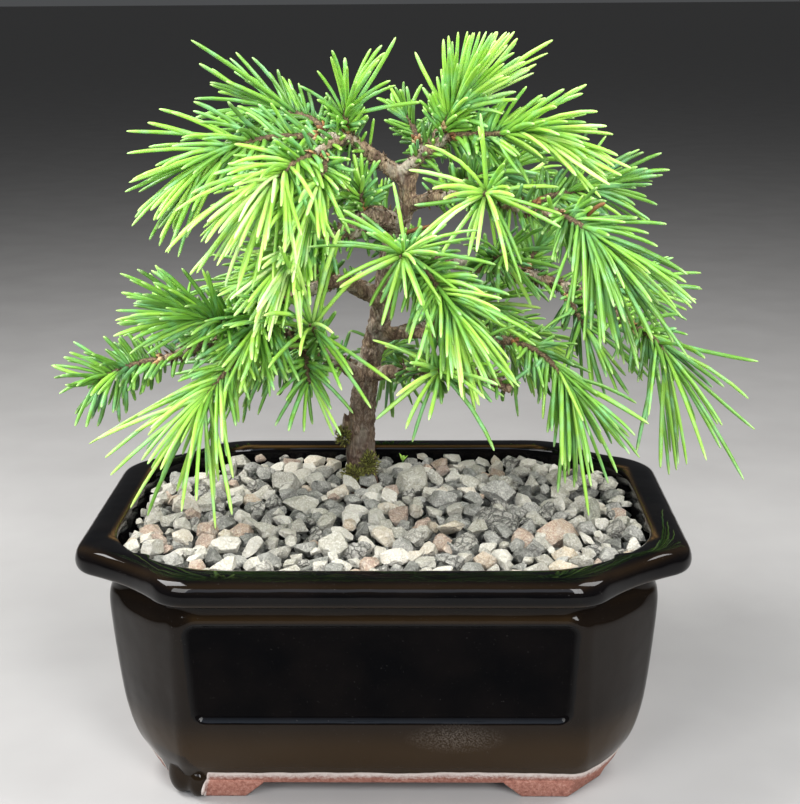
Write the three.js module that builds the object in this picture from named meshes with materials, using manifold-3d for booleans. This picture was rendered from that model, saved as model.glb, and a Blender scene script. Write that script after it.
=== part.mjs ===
// A prostrate deodar cedar bonsai in its glazed cut-corner pot, in millimetres, +Z up.
// The pot stands on its four feet at z = 0 and the tree grows from a gravel-topped soil block.
import * as THREE from 'three';
import { mergeVertices } from 'three/addons/utils/BufferGeometryUtils.js';
import Module from 'manifold-3d';

const wasm = await Module();
wasm.setup();

// Driving dimensions of the pot
const RIM_HALF_X = 79.5;
const RIM_HALF_Y = 61.5;
const POT_HEIGHT = 67;
const FLAT_HALF_X = 50.5;
const FLAT_HALF_Y = 36;
const FLAT_SHARE_X = 0.18;
const FLAT_SHARE_Y = 0.36;
const CORNER_SAG = 1.6;
const CORNER_ROUND = 4;
const FOOT_HEIGHT = 4.5;
const FLOOR_TOP = 10;
const RIM_TOP_INSET = 9.6;
const LEDGE_INSET = 10.2;
const LEDGE_HEIGHT = 59;
const PANEL_DEPTH = 1.2;
const PANEL_SLOPE = 0.085;
const PANEL_ROUND = 3;
const PANEL_BOTTOM = 25;
const PANEL_TOP = 51.2;
const PANEL_FACE_INSET = 10.15;
const PANEL_HALF_X = 47.5;
const PANEL_HALF_Y = 28;
const DRAIN_HOLE_X = 30;
const DRAIN_HOLE_RADIUS = 5.5;
const DRAIN_MESH_SIDE = 18;
const DRAIN_MESH_THICK = 0.9;
const DRAIN_BAR = 1.2;

// Driving dimensions of what fills it
const GAP = 0.3;
const SOIL_LIFT = 1.6;
const SOIL_TOP = 57.5;
const SOIL_TOP_INSET = 12.2;
const GRAVEL_BED_TOP = 60.2;
const TRUNK_X = -8;
const TRUNK_Y = 30;
const TRUNK_FOOT_Z = 32;
const TRUNK_HOLE_RADIUS = 6;

// Driving dimensions of the plant
const NEEDLE_RADIUS = 0.72;
const NEEDLE_SHOULDER = 0.88;
const TWIG_RADIUS = 1.15;
const TWIG_TIP_RADIUS = 0.6;
const LOWEST_NEEDLE_Z = 68.5;
const ROOT_CLEAR = 3;
const OWN_GAP = -0.15;
const LEAN_JITTER = 14;
const TURN_JITTER = 0.4;
const LEAST_LEAN = 8;
const DROOP_SHARE = 0.8;
const TWIG_SIDES = 4;
const FACES_PER_BAND = TWIG_SIDES * 2;
const FACE_STEP = 3;
const TRUNK_SIDES = 9;

// A seeded generator, so every build draws the same numbers
function seeded(seed) {
  let state = seed >>> 0;
  return () => {
    state = (state + 0x6d2b79f5) >>> 0;
    let mixed = Math.imul(state ^ (state >>> 15), state | 1);
    mixed ^= mixed + Math.imul(mixed ^ (mixed >>> 7), mixed | 61);
    return ((mixed ^ (mixed >>> 14)) >>> 0) / 4294967296;
  };
}

const vec = (x, y, z) => new THREE.Vector3(x, y, z);
const mix = (a, b, t) => a + (b - a) * t;

// Solids and meshes
function toSolid(geometry) {
  const bare = geometry.clone();
  bare.deleteAttribute('normal');
  bare.deleteAttribute('uv');
  const merged = mergeVertices(bare, 1e-4);
  return new wasm.Manifold(new wasm.Mesh({
    numProp: 3,
    vertProperties: new Float32Array(merged.attributes.position.array),
    triVerts: new Uint32Array(merged.index.array),
  }));
}

function toGeometry(solid) {
  const mesh = solid.getMesh();
  const geometry = new THREE.BufferGeometry();
  geometry.setAttribute('position', new THREE.BufferAttribute(mesh.vertProperties, 3));
  geometry.setIndex(new THREE.BufferAttribute(mesh.triVerts, 1));
  const flat = geometry.toNonIndexed();
  flat.computeVertexNormals();
  return flat;
}

function joinAll(solids) {
  return solids.reduce((whole, next) => whole.add(next));
}

// The largest closed skin of a joined solid: hollows that the joining sealed are filled
function filled(solid) {
  const skins = solid.decompose();
  return skins.reduce((largest, next) => (next.volume() > largest.volume() ? next : largest));
}

// A closed solid through rings that each have the same number of points
function loft(rings) {
  const sides = rings[0].length;
  const positions = rings.flat().flatMap((p) => [p.x, p.y, p.z]);
  const index = [];
  for (let r = 0; r + 1 < rings.length; r++) {
    for (let s = 0; s < sides; s++) {
      const a = r * sides + s;
      const b = r * sides + (s + 1) % sides;
      index.push(a, b, b + sides, a, b + sides, a + sides);
    }
  }
  const middles = [rings[0], rings.at(-1)].map((ring) => {
    const middle = vec(0, 0, 0);
    ring.forEach((p) => middle.addScaledVector(p, 1 / sides));
    return middle;
  });
  const first = rings.length * sides;
  positions.push(...middles.flatMap((p) => [p.x, p.y, p.z]));
  for (let s = 0; s < sides; s++) {
    const next = (s + 1) % sides;
    index.push(first, next, s);
    const top = (rings.length - 1) * sides;
    index.push(first + 1, top + s, top + next);
  }
  const geometry = new THREE.BufferGeometry();
  geometry.setAttribute('position', new THREE.Float32BufferAttribute(positions, 3));
  geometry.setIndex(index);
  return geometry;
}

// A tapered round limb along a smooth curve through hand-set points
function limb(points, radii, sides, steps) {
  const curve = new THREE.CatmullRomCurve3(points, false, 'centripetal');
  const frames = curve.computeFrenetFrames(steps, false);
  const rings = [];
  for (let i = 0; i <= steps; i++) {
    const t = i / steps;
    const centre = curve.getPointAt(t);
    const place = t * (radii.length - 1);
    const k = Math.min(Math.floor(place), radii.length - 2);
    const radius = mix(radii[k], radii[k + 1], place - k);
    const ring = [];
    for (let s = 0; s < sides; s++) {
      const angle = (s / sides) * Math.PI * 2;
      ring.push(centre.clone()
        .addScaledVector(frames.normals[i], radius * Math.cos(angle))
        .addScaledVector(frames.binormals[i], radius * Math.sin(angle)));
    }
    rings.push(ring);
  }
  return loft(rings);
}

// The pot's outline, set in from the rim: a rectangle whose corners are cut and slightly hollow.
// Its straight sides shorten by a share of the inset.
function outline(inset, z) {
  const halfX = RIM_HALF_X - inset;
  const halfY = RIM_HALF_Y - inset;
  const flatX = FLAT_HALF_X - FLAT_SHARE_X * inset;
  const flatY = FLAT_HALF_Y - FLAT_SHARE_Y * inset;
  const start = new THREE.Vector2(flatX, -halfY);
  const end = new THREE.Vector2(halfX, -flatY);
  const along = end.clone().sub(start).normalize();
  const inward = new THREE.Vector2(-along.y, along.x);
  const corner = [];
  [0, 0.5, 1].forEach((t) => {
    const before = new THREE.Vector2(flatX - CORNER_ROUND * (1 - t), -halfY);
    const after = start.clone().addScaledVector(along, CORNER_ROUND * t);
    corner.push(before.lerp(after, t));
  });
  corner.push(start.clone().add(end).multiplyScalar(0.5).addScaledVector(inward, CORNER_SAG));
  [0, 0.5, 1].forEach((t) => {
    const before = end.clone().addScaledVector(along, -CORNER_ROUND * (1 - t));
    const after = new THREE.Vector2(halfX, -flatY + CORNER_ROUND * t);
    corner.push(before.lerp(after, t));
  });
  const mirrored = (sx, sy) => {
    const points = corner.map((p) => vec(p.x * sx, p.y * sy, z));
    return sx * sy < 0 ? points.reverse() : points;
  };
  return [...mirrored(1, 1), ...mirrored(1, -1), ...mirrored(-1, -1), ...mirrored(-1, 1)];
}

// Inset and height of each ring: up the outside, over the rim, and down the inside to the floor
const outerWall = [
  [17.4, FOOT_HEIGHT], [15.6, 8], [13.2, 12], [11.4, 18], [10, 26], [8.2, 46], [8, 53], [8.9, 55],
];
const rim = [
  [8.6, LEDGE_HEIGHT], [1.2, 59.8], [0, 61], [0, 65.4], [1.2, POT_HEIGHT - 0.2],
  [RIM_TOP_INSET - 0.6, POT_HEIGHT], [RIM_TOP_INSET, 66.2], [LEDGE_INSET, LEDGE_HEIGHT],
];
const innerWall = [[15.5, 52], [17.5, 24], [24, FLOOR_TOP]];

function ringsThrough(profile) {
  return profile.map(([inset, z]) => outline(inset, z));
}

// One recessed panel, cut along the wall's own slope
function panelCutter(halfWidth, faceHalf) {
  const round = PANEL_ROUND;
  const shape = new THREE.Shape();
  const height = PANEL_TOP - PANEL_BOTTOM;
  shape.moveTo(-halfWidth + round, 0);
  shape.lineTo(halfWidth - round, 0);
  shape.quadraticCurveTo(halfWidth, 0, halfWidth, round);
  shape.lineTo(halfWidth, height - round);
  shape.quadraticCurveTo(halfWidth, height, halfWidth - round, height);
  shape.lineTo(-halfWidth + round, height);
  shape.quadraticCurveTo(-halfWidth, height, -halfWidth, height - round);
  shape.lineTo(-halfWidth, round);
  shape.quadraticCurveTo(-halfWidth, 0, -halfWidth + round, 0);
  const slab = new THREE.ExtrudeGeometry(shape, { depth: 6, bevelEnabled: false, curveSegments: 3 });
  slab.rotateX(Math.PI / 2 + PANEL_SLOPE);
  slab.translate(0, -(faceHalf - PANEL_FACE_INSET) + PANEL_DEPTH, PANEL_BOTTOM);
  return slab;
}

// A corner foot follows the base's cut corner and slopes up at its two ends
function foot(signX, signY) {
  const low = [[36, -43.6], [46.5, -43.6], [60.6, -29.4], [60.6, -22], [52, -22], [44, -35], [36, -35]];
  const high = [[31, -44.6], [47, -44.6], [61.6, -29.8], [61.6, -17], [51, -17], [42.5, -34], [31, -34]];
  const ring = (points, z) => {
    const placed = points.map(([x, y]) => vec(x * signX, y * signY, z));
    return signX * signY < 0 ? placed.reverse() : placed;
  };
  return loft([ring(low, 0), ring(high, FOOT_HEIGHT), ring(high, FOOT_HEIGHT + 1.2)]);
}

function makePot() {
  let pot = toSolid(loft(ringsThrough([...outerWall, ...rim, ...innerWall])));
  [-1, 1].forEach((signX) => {
    [-1, 1].forEach((signY) => {
      pot = pot.add(toSolid(foot(signX, signY)));
    });
    const hole = new THREE.CylinderGeometry(DRAIN_HOLE_RADIUS, DRAIN_HOLE_RADIUS, 2 * FLOOR_TOP, 20);
    hole.rotateX(Math.PI / 2);
    hole.translate(DRAIN_HOLE_X * signX, 0, FLOOR_TOP - 4);
    pot = pot.subtract(toSolid(hole));
  });
  [0, 1].forEach((half) => {
    const long = panelCutter(PANEL_HALF_X, RIM_HALF_Y);
    long.rotateZ(Math.PI * half);
    const short = panelCutter(PANEL_HALF_Y, RIM_HALF_X);
    short.rotateZ(Math.PI * (half + 0.5));
    pot = pot.subtract(toSolid(long)).subtract(toSolid(short));
  });
  return pot;
}

// Square plastic mesh over a drain hole, lying on the pot's floor: bars crossing bars
function makeDrainMesh(x) {
  const side = DRAIN_MESH_SIDE;
  const pitch = (side - DRAIN_BAR) / 2;
  const bars = [];
  [-pitch, 0, pitch].forEach((place) => {
    bars.push(new THREE.BoxGeometry(side, DRAIN_BAR, DRAIN_MESH_THICK).translate(0, place, 0));
    bars.push(new THREE.BoxGeometry(DRAIN_BAR, side, DRAIN_MESH_THICK).translate(place, 0, 0));
  });
  const middleZ = FLOOR_TOP + GAP + DRAIN_MESH_THICK / 2;
  return joinAll(bars.map((box) => toSolid(box.translate(x, 0, middleZ))));
}

// The plain hole that the trunk's lower end stands in
function trunkHole(bottom, top) {
  const hole = new THREE.CylinderGeometry(TRUNK_HOLE_RADIUS, TRUNK_HOLE_RADIUS, top - bottom, 10);
  hole.rotateX(Math.PI / 2);
  hole.translate(TRUNK_X, TRUNK_Y, (top + bottom) / 2);
  return toSolid(hole);
}

// The block stands over the drain mesh and just inside the wall
function makeSoil() {
  const rings = innerWall.map(([inset, z]) => outline(inset + GAP + 0.1, z + SOIL_LIFT)).reverse();
  rings.push(outline(SOIL_TOP_INSET, SOIL_TOP));
  return toSolid(loft(rings)).subtract(trunkHole(TRUNK_FOOT_Z - GAP, POT_HEIGHT));
}

// Gravel: one closed relief of angular stones. The stones sit on a six-sided grid whose corners
// are jittered, each with a raised, tilted top and a valley round it, and the pot's inner wall
// and the trunk cut it.
const STONE_PITCH = 10.6;
const STONE_MOUND = 1.6;
const STONE_RISE = 3.4;
const STONE_TOP_SHARE = 0.62;
const STONE_JITTER = 3;
const STONE_TILT = 0.5;
const VALLEY_JITTER = 0.8;
const HEX_ROW = Math.sqrt(3) / 2;

// A number between 0 and 1 that belongs to one place, so stones that share a corner agree on it
function placeNoise(x, y, salt) {
  return seeded(Math.round(x * 40) * 7919 + Math.round(y * 40) * 104729 + salt)();
}

function mound(x, y) {
  return STONE_MOUND * Math.cos((x / RIM_HALF_X) * 1.3) * Math.cos((y / RIM_HALF_Y) * 1.3);
}

function stoneCells() {
  const cells = [];
  const rowPitch = STONE_PITCH * HEX_ROW;
  const rows = Math.ceil(RIM_HALF_Y / rowPitch);
  const columns = Math.ceil(RIM_HALF_X / STONE_PITCH);
  for (let row = -rows; row <= rows; row++) {
    for (let column = -columns; column <= columns; column++) {
      cells.push([(column + (row % 2 === 0 ? 0 : 0.5)) * STONE_PITCH, row * rowPitch]);
    }
  }
  return cells;
}

function gravelRelief() {
  const corners = new Map();
  const positions = [];
  const index = [];
  const addPoint = (x, y, z) => positions.push(x, y, z) / 3 - 1;
  const sharedCorner = (x, y) => {
    const key = `${Math.round(x * 10)},${Math.round(y * 10)}`;
    if (!corners.has(key)) {
      const shiftX = (placeNoise(x, y, 1) - 0.5) * STONE_JITTER;
      const shiftY = (placeNoise(x, y, 2) - 0.5) * STONE_JITTER;
      const z = GRAVEL_BED_TOP + mound(x, y) + (placeNoise(x, y, 3) - 0.5) * VALLEY_JITTER;
      corners.set(key, addPoint(x + shiftX, y + shiftY, z));
    }
    return corners.get(key);
  };
  stoneCells().forEach(([x, y]) => {
    const rise = STONE_RISE * (0.7 + 0.45 * placeNoise(x, y, 4));
    const tiltX = (placeNoise(x, y, 5) - 0.5) * STONE_TILT;
    const tiltY = (placeNoise(x, y, 6) - 0.5) * STONE_TILT;
    const low = [];
    const high = [];
    for (let k = 0; k < 6; k++) {
      const angle = (k + 0.5) * (Math.PI / 3);
      const far = STONE_PITCH / 2 / HEX_ROW;
      const corner = sharedCorner(x + far * Math.cos(angle), y + far * Math.sin(angle));
      const share = STONE_TOP_SHARE * (0.85 + 0.3 * placeNoise(x + k, y, 7));
      const topX = mix(x, positions[corner * 3], share);
      const topY = mix(y, positions[corner * 3 + 1], share);
      const z = GRAVEL_BED_TOP + mound(x, y) + rise + (topX - x) * tiltX + (topY - y) * tiltY;
      low.push(corner);
      high.push(addPoint(topX, topY, z));
    }
    for (let k = 0; k < 6; k++) {
      const next = (k + 1) % 6;
      index.push(low[k], low[next], high[next], low[k], high[next], high[k]);
    }
    [1, 2, 3, 4].forEach((k) => index.push(high[0], high[k], high[k + 1]));
  });
  return closeBelow(positions, index, SOIL_TOP - 3);
}

// Closes an open sheet with a copy of itself at one height and a skirt round its edge
function closeBelow(positions, index, floor) {
  const count = positions.length / 3;
  const lower = positions.map((value, i) => (i % 3 === 2 ? floor : value));
  const edges = new Set();
  for (let i = 0; i < index.length; i += 3) {
    for (let k = 0; k < 3; k++) edges.add(`${index[i + k]},${index[i + (k + 1) % 3]}`);
  }
  const closed = [...index];
  for (let i = 0; i < index.length; i += 3) {
    closed.push(index[i] + count, index[i + 2] + count, index[i + 1] + count);
  }
  edges.forEach((edge) => {
    const [from, to] = edge.split(',').map(Number);
    if (!edges.has(`${to},${from}`)) closed.push(from, from + count, to + count, from, to + count, to);
  });
  const geometry = new THREE.BufferGeometry();
  geometry.setAttribute('position', new THREE.Float32BufferAttribute([...positions, ...lower], 3));
  geometry.setIndex(closed);
  return geometry;
}

function makeGravel() {
  const inside = toSolid(loft(ringsThrough([
    [SOIL_TOP_INSET, SOIL_TOP + GAP], [LEDGE_INSET + GAP, LEDGE_HEIGHT], [RIM_TOP_INSET + GAP, 66.2],
    [RIM_TOP_INSET + GAP, POT_HEIGHT + 5],
  ])));
  const hole = trunkHole(SOIL_TOP - 5, POT_HEIGHT + 5);
  return filled(toSolid(gravelRelief()).intersect(inside).subtract(hole));
}

// The woody frame: each limb's points run from where it leaves the wood to its end
const limbs = [
  { radii: [4.6, 5.3, 5.2, 4.3, 3.9, 3.6, 3.2, 2.9, 2.9, 2.3], sides: TRUNK_SIDES, steps: 20, points: [
    [TRUNK_X, TRUNK_Y, TRUNK_FOOT_Z], [-8, 30, 63], [-8, 30, 75], [-7, 29, 88], [-5, 28, 100],
    [-2, 26, 112], [-1, 25, 118], [1, 23, 132], [4, 21, 140], [6, 20, 147], [6, 18, 153], [4, 18, 157]] },
  { radii: [2.4, 2, 1.9, 1.5], steps: 4, points: [
    [5, 18, 154], [1, 17, 157], [-4, 15, 161], [-8, 13, 164], [-10, 11, 166]] },
  { radii: [1.6, 1.2], steps: 2, points: [[-9, 12, 165], [-17, 9, 166]] },
  { radii: [1.5, 1.1], steps: 2, points: [[-9, 12, 165], [-14, 7, 164], [-18, 3, 162]] },
  { radii: [2.2, 1.6, 1.4], steps: 3, points: [[5, 18, 155], [11, 13, 161], [15, 11, 164], [18, 10, 166]] },
  { radii: [2, 1.7, 1.6, 1.3], steps: 6, points: [
    [6, 20, 146], [14, 12, 149], [23, 4, 151], [27, 0, 151], [35, -6, 149], [45, -12, 148]] },
  { radii: [2.6, 2.4, 2.5, 1.5], sides: 6, steps: 6, points: [
    [4, 21, 140], [0, 16, 143], [-5, 11, 144], [-8, 7, 141], [-12, 4, 141], [-15, 1, 140]] },
  { radii: [2.2, 1.8, 1.6, 1.2], steps: 8, points: [
    [-1, 25, 118], [-7, 20, 122], [-13, 14, 126], [-19, 9, 125], [-27, 6, 122], [-34, 4, 119], [-43, 1, 113],
    [-50, -1, 111], [-59, -3, 108]] },
  { radii: [2.4, 1.9, 1.6, 1.4], sides: 6, steps: 5, points: [
    [-6, 28, 95], [-9, 24, 97], [-13, 18, 102], [-17, 13, 106], [-22, 8, 109], [-27, 3, 114]] },
  { radii: [2.1, 1.9, 1.7, 1.6], steps: 8, points: [
    [-4, 27, 96], [4, 12, 101], [10, 2, 104], [14, -8, 106], [25, -10, 105], [29, -11, 104], [34, -12, 102]] },
  { radii: [2, 1.6, 1.4, 1.3], steps: 5, points: [
    [-2, 27, 108], [7, 24, 109], [20, 18, 109], [26, 12, 110], [35, 4, 111]] },
  { radii: [2.4, 2, 1.8, 1.4], steps: 8, points: [
    [3, 22, 135], [10, 28, 131], [18, 32, 128], [28, 36, 126], [40, 42, 123], [51, 44, 119], [62, 36, 116],
    [70, 24, 111]] },
  { radii: [1.7, 1.3], points: [[3, 21, 136], [5, 5, 136], [6, -6, 137]] },
  { radii: [1.8, 1.3], points: [[5, 19, 152], [10, 30, 160], [14, 44, 165]] },
  { radii: [1.9, 1.3], points: [[4, 21, 141], [-8, 34, 146], [-20, 46, 149]] },
  { radii: [2, 1.4], points: [[5, 20, 145], [18, 38, 148], [29, 52, 149]] },
  { radii: [2.1, 1.4], points: [[-1, 25, 120], [-14, 42, 121], [-28, 54, 119]] },
  { radii: [2, 1.4], points: [[1, 24, 129], [4, 44, 129], [6, 58, 127]] },
  { radii: [2, 1.4], points: [[-4, 27, 106], [12, 44, 107], [28, 56, 104]] },
  { radii: [2.1, 1.4], points: [[-6, 29, 96], [-18, 42, 98], [-32, 52, 96]] },
  { radii: [2, 1.4], points: [[-6, 29, 92], [-4, 48, 95], [-2, 60, 95]] },
];
const STUB_LEFT = [[-9, 30, 76], [-12.5, 29, 79], [-12.5, 28.5, 84]];
const STUB_TOP = [[6, 18, 150], [8.6, 17.4, 156], [8.4, 17, 160]];

function makeWood() {
  const pieces = limbs.map(({ points, radii, sides = 5, steps = 3 }) => {
    const path = points.map((p) => vec(...p));
    return toSolid(limb(path, radii, sides, steps));
  });
  [[STUB_LEFT, 1.3], [STUB_TOP, 1.2]].forEach(([points, radius]) => {
    pieces.push(toSolid(limb(points.map((p) => vec(...p)), [radius, radius * 0.5], 5, 3)));
  });
  return filled(joinAll(pieces));
}

// Leafy shoots. A shoot's first point lies on the wood's centre line, and its twig starts where
// the wood ends: at a limb's own end, or outside the limb's side, which is seat away from that line.
// reach is the needles' length, lean the angle in degrees between needle and twig at the shoot's
// foot and at its tip, droop how far the needles hang, and bare the share of twig with no needles.
const END_SEAT = 0.5;
const shoots = [
  { name: 'top_left_outer', reach: 20, count: 28, lean: [68, 18], droop: 0.1,
    points: [[-17, 9, 166], [-32, 0, 166], [-42, -5, 163], [-47, -8, 159]] },
  { name: 'top_left_crown', reach: 18, count: 20, lean: [70, 20], droop: 0, seat: 2.2,
    points: [[-14, 10, 166], [-19, 13, 170], [-26, 17, 172], [-33, 20, 173]] },
  { name: 'top_left_front', reach: 20, count: 24, lean: [72, 20], droop: 0.25,
    points: [[-18, 3, 162], [-23, -4, 160], [-28, -14, 156]] },
  { name: 'top_left_low', reach: 20, count: 20, lean: [72, 20], droop: 0.35, seat: 2.1,
    points: [[-15.5, 5.5, 163], [-15, 2, 158.5], [-17, -4, 154], [-19, -9, 150]] },
  { name: 'crown_left', reach: 18, count: 18, lean: [55, 14], droop: -0.1, seat: 2.4,
    points: [[-9, 12, 165], [-10, 10, 171], [-9, 8, 175]] },
  { name: 'crown_right', reach: 18, count: 24, lean: [60, 14], droop: -0.15, seat: 3.9,
    points: [[15, 11, 164], [17, 9, 170], [21, 6, 175]] },
  { name: 'crown_right_long', reach: 19, count: 26, lean: [66, 18], droop: 0, seat: 0.9,
    points: [[18, 10, 166], [30, 1, 167], [37, -4, 168], [43, -8, 166]] },
  { name: 'right_shoulder', reach: 23, count: 28, lean: [66, 20], droop: 0.3, seat: 0.7,
    points: [[45, -12, 148], [50, -18, 146], [55, -22, 141]] },
  { name: 'right_upper', reach: 20, count: 20, lean: [68, 18], droop: 0, seat: 1.8,
    points: [[38, -8, 148.7], [43, -3, 151], [50, 1, 152], [58, 4, 153]] },
  { name: 'star_upper', reach: 18, count: 20, lean: [94, 24], droop: 0.12, seat: 2.4,
    points: [[27, 0, 151], [27, -9, 153], [26, -14, 153]] },
  { name: 'star_middle', reach: 22, count: 24, lean: [92, 24], droop: 0.2,
    points: [[6, -6, 137], [6, -12, 138], [5, -18, 138]] },
  { name: 'middle_drooping', reach: 22, count: 24, lean: [66, 20], droop: 0.3, seat: 2,
    points: [[5.5, 0, 136], [12, -5, 132], [16, -12, 128], [19, -18, 122]] },
  { name: 'left_middle', reach: 19, count: 24, lean: [70, 20], droop: 0.25,
    points: [[-15, 1, 140], [-20, -6, 139], [-25, -14, 135]] },
  { name: 'left_tuft', reach: 12, count: 12, lean: [62, 16], droop: 0, seat: 2.8,
    points: [[-5, 11, 144], [-6, 9, 150], [-6, 8, 154]] },
  { name: 'left_high', reach: 19, count: 20, lean: [66, 20], droop: -0.1, seat: 2.6,
    points: [[-37, 3, 117], [-42, -5, 119], [-50, -11, 121]] },
  { name: 'left_inner', reach: 18, count: 18, lean: [68, 20], droop: 0.3, seat: 3.1,
    points: [[-27, 6, 122], [-31, -2, 121], [-33, -9, 118]] },
  { name: 'left_outer', reach: 14, count: 22, lean: [74, 22], droop: 0.05,
    points: [[-59, -3, 108], [-66, -4, 107], [-72, -5, 105], [-77, -6, 103]] },
  { name: 'left_far', reach: 17, count: 17, lean: [70, 20], droop: 0.1, seat: 1.9,
    points: [[-45, 0.5, 112.5], [-52, 8, 115], [-60, 14, 116]] },
  { name: 'left_low_fan', reach: 25, count: 30, lean: [60, 16], droop: 0.35, seat: 1.2,
    points: [[-27, 3, 114], [-35, -7, 112.5], [-40, -13, 108], [-44, -18, 104], [-47, -21, 100]] },
  { name: 'left_low_back', reach: 18, count: 17, lean: [68, 20], droop: 0.3, seat: 1.9,
    points: [[-17, 13, 106], [-26, 19, 106], [-35, 23, 103]] },
  { name: 'star_left', reach: 16, count: 16, lean: [94, 24], droop: 0.08, seat: 3.8, bare: 0.5,
    points: [[-18.5, 11.5, 107], [-18, 2, 113], [-19, -11, 119]] },
  { name: 'left_hanging', reach: 17, count: 16, lean: [66, 22], droop: 0.4, seat: 2,
    points: [[-22, 8, 109], [-21, 0, 105], [-20, -6, 102]] },
  { name: 'star_low', reach: 16, count: 20, lean: [96, 26], droop: 0.15, seat: 1.2,
    points: [[14, -8, 106], [14.6, -15, 107.5], [15, -20, 108.5]] },
  { name: 'right_low_fan', reach: 24, count: 26, lean: [64, 18], droop: 0.45, seat: 0.6,
    points: [[35, 4, 111], [42, -2, 109], [46, -7, 106], [50, -12, 101]] },
  { name: 'right_under', reach: 19, count: 18, lean: [68, 20], droop: 0.35, seat: 4,
    points: [[52, 43.5, 118.5], [55, 35, 113], [58, 28, 108]] },
  { name: 'right_outer', reach: 26, count: 28, lean: [66, 20], droop: 0.35,
    points: [[70, 24, 111], [74, 19, 110], [79, 14, 108], [83, 9, 104]] },
  { name: 'right_back', reach: 20, count: 17, lean: [68, 20], droop: 0.15, seat: 1.5,
    points: [[60, 38, 117], [67, 44, 118], [74, 50, 117]] },
  { name: 'right_inner_tuft', reach: 15, count: 16, lean: [66, 18], droop: -0.05, seat: 2.1,
    points: [[40, 42, 123], [43, 44, 128], [46, 46, 132]] },
  { name: 'centre_right', reach: 17, count: 16, lean: [70, 20], droop: 0.1, seat: 2,
    points: [[28, 36, 126], [31, 27, 130], [34, 19, 132]] },
  { name: 'crown_back', reach: 20, count: 18, lean: [68, 20], droop: 0.05, seat: 0.6,
    points: [[14, 44, 165], [17, 52, 165], [19, 60, 163]] },
  { name: 'crown_middle', reach: 18, count: 15, lean: [64, 18], droop: -0.1, seat: 2.6,
    points: [[10, 30, 160], [8, 33, 166], [5, 36, 171]] },
  { name: 'back_left_upper', reach: 20, count: 18, lean: [68, 20], droop: 0.2, seat: 0.6,
    points: [[-20, 46, 149], [-27, 52, 148], [-34, 58, 145]] },
  { name: 'back_left_high', reach: 18, count: 15, lean: [68, 20], droop: 0, seat: 2.6,
    points: [[-8, 34, 146], [-16, 32, 150], [-23, 31, 153]] },
  { name: 'back_right_upper', reach: 20, count: 18, lean: [68, 20], droop: 0.2,
    points: [[29, 52, 149], [35, 59, 148], [41, 65, 144]] },
  { name: 'back_right_high', reach: 18, count: 15, lean: [68, 20], droop: 0, seat: 1.9,
    points: [[18, 38, 148], [25, 34, 152], [33, 32, 154]] },
  { name: 'back_left_middle', reach: 20, count: 18, lean: [68, 20], droop: 0.25,
    points: [[-28, 54, 119], [-36, 60, 118], [-44, 66, 114]] },
  { name: 'back_left_inner', reach: 18, count: 15, lean: [68, 20], droop: 0.1, seat: 2.1,
    points: [[-14, 42, 121], [-22, 37, 125], [-29, 33, 127]] },
  { name: 'back_middle', reach: 20, count: 18, lean: [70, 20], droop: 0.25,
    points: [[6, 58, 127], [7, 66, 126], [8, 74, 122]] },
  { name: 'back_middle_high', reach: 18, count: 15, lean: [68, 20], droop: 0, seat: 2.4,
    points: [[4, 44, 129], [0, 48, 134], [-3, 53, 138]] },
  { name: 'back_right_low', reach: 21, count: 18, lean: [68, 20], droop: 0.35,
    points: [[28, 56, 104], [35, 62, 102], [42, 67, 97]] },
  { name: 'back_right_inner', reach: 18, count: 15, lean: [68, 20], droop: 0.15, seat: 2.7,
    points: [[12, 44, 107], [20, 43, 112], [27, 42, 114]] },
  { name: 'back_left_low', reach: 21, count: 18, lean: [68, 20], droop: 0.35,
    points: [[-32, 52, 96], [-40, 57, 94], [-48, 62, 90]] },
  { name: 'back_low', reach: 20, count: 17, lean: [70, 20], droop: 0.35,
    points: [[-2, 60, 95], [-1, 67, 94], [0, 74, 90]] },
];

// A shoot's path, from where its twig leaves the wood
function shootPath({ points, seat = END_SEAT }) {
  const path = points.map((p) => vec(...p));
  const ahead = path[1].clone().sub(path[0]).normalize();
  path[0].addScaledVector(ahead, seat);
  return path;
}

// Straight pieces with a radius, which new needles keep clear of: limbs, twigs and needles. A
// needle's first part near its twig is kept apart from other nodes only, as its neighbours touch it.
const lines = [];

function addLines(owner, path, radiusAt) {
  for (let i = 0; i + 1 < path.length; i++) {
    lines.push({ owner, from: path[i], to: path[i + 1], radius: radiusAt(i / path.length) });
  }
}

function addNeedle(owner, root, past, tip) {
  lines.push({ owner, from: past, to: tip, radius: NEEDLE_RADIUS });
  lines.push({ owner, isRoot: true, from: root, to: past, radius: NEEDLE_RADIUS });
}

// The least distance between two straight pieces
function apart(a, b, c, d) {
  const ab = b.clone().sub(a);
  const cd = d.clone().sub(c);
  const ca = a.clone().sub(c);
  const lengthOne = ab.dot(ab);
  const lengthTwo = cd.dot(cd);
  const cross = ab.dot(cd);
  const alongOne = ab.dot(ca);
  const alongTwo = cd.dot(ca);
  const spread = lengthOne * lengthTwo - cross * cross;
  const clamp = (value) => Math.min(1, Math.max(0, value));
  let s = spread > 1e-9 ? clamp((cross * alongTwo - alongOne * lengthTwo) / spread) : 0;
  const t = clamp((cross * s + alongTwo) / lengthTwo);
  s = clamp((cross * t - alongOne) / lengthOne);
  return a.clone().addScaledVector(ab, s).distanceTo(c.clone().addScaledVector(cd, t));
}

// Whether a needle passes clear of all other nodes, and past its root also of its own node
function isClear(owner, root, past, tip) {
  return lines.every((line) => {
    const own = line.owner === owner;
    if (own && line.isRoot) return true;
    const gap = own ? OWN_GAP : GAP;
    return apart(own ? past : root, tip, line.from, line.to) > NEEDLE_RADIUS + line.radius + gap;
  });
}


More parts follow.
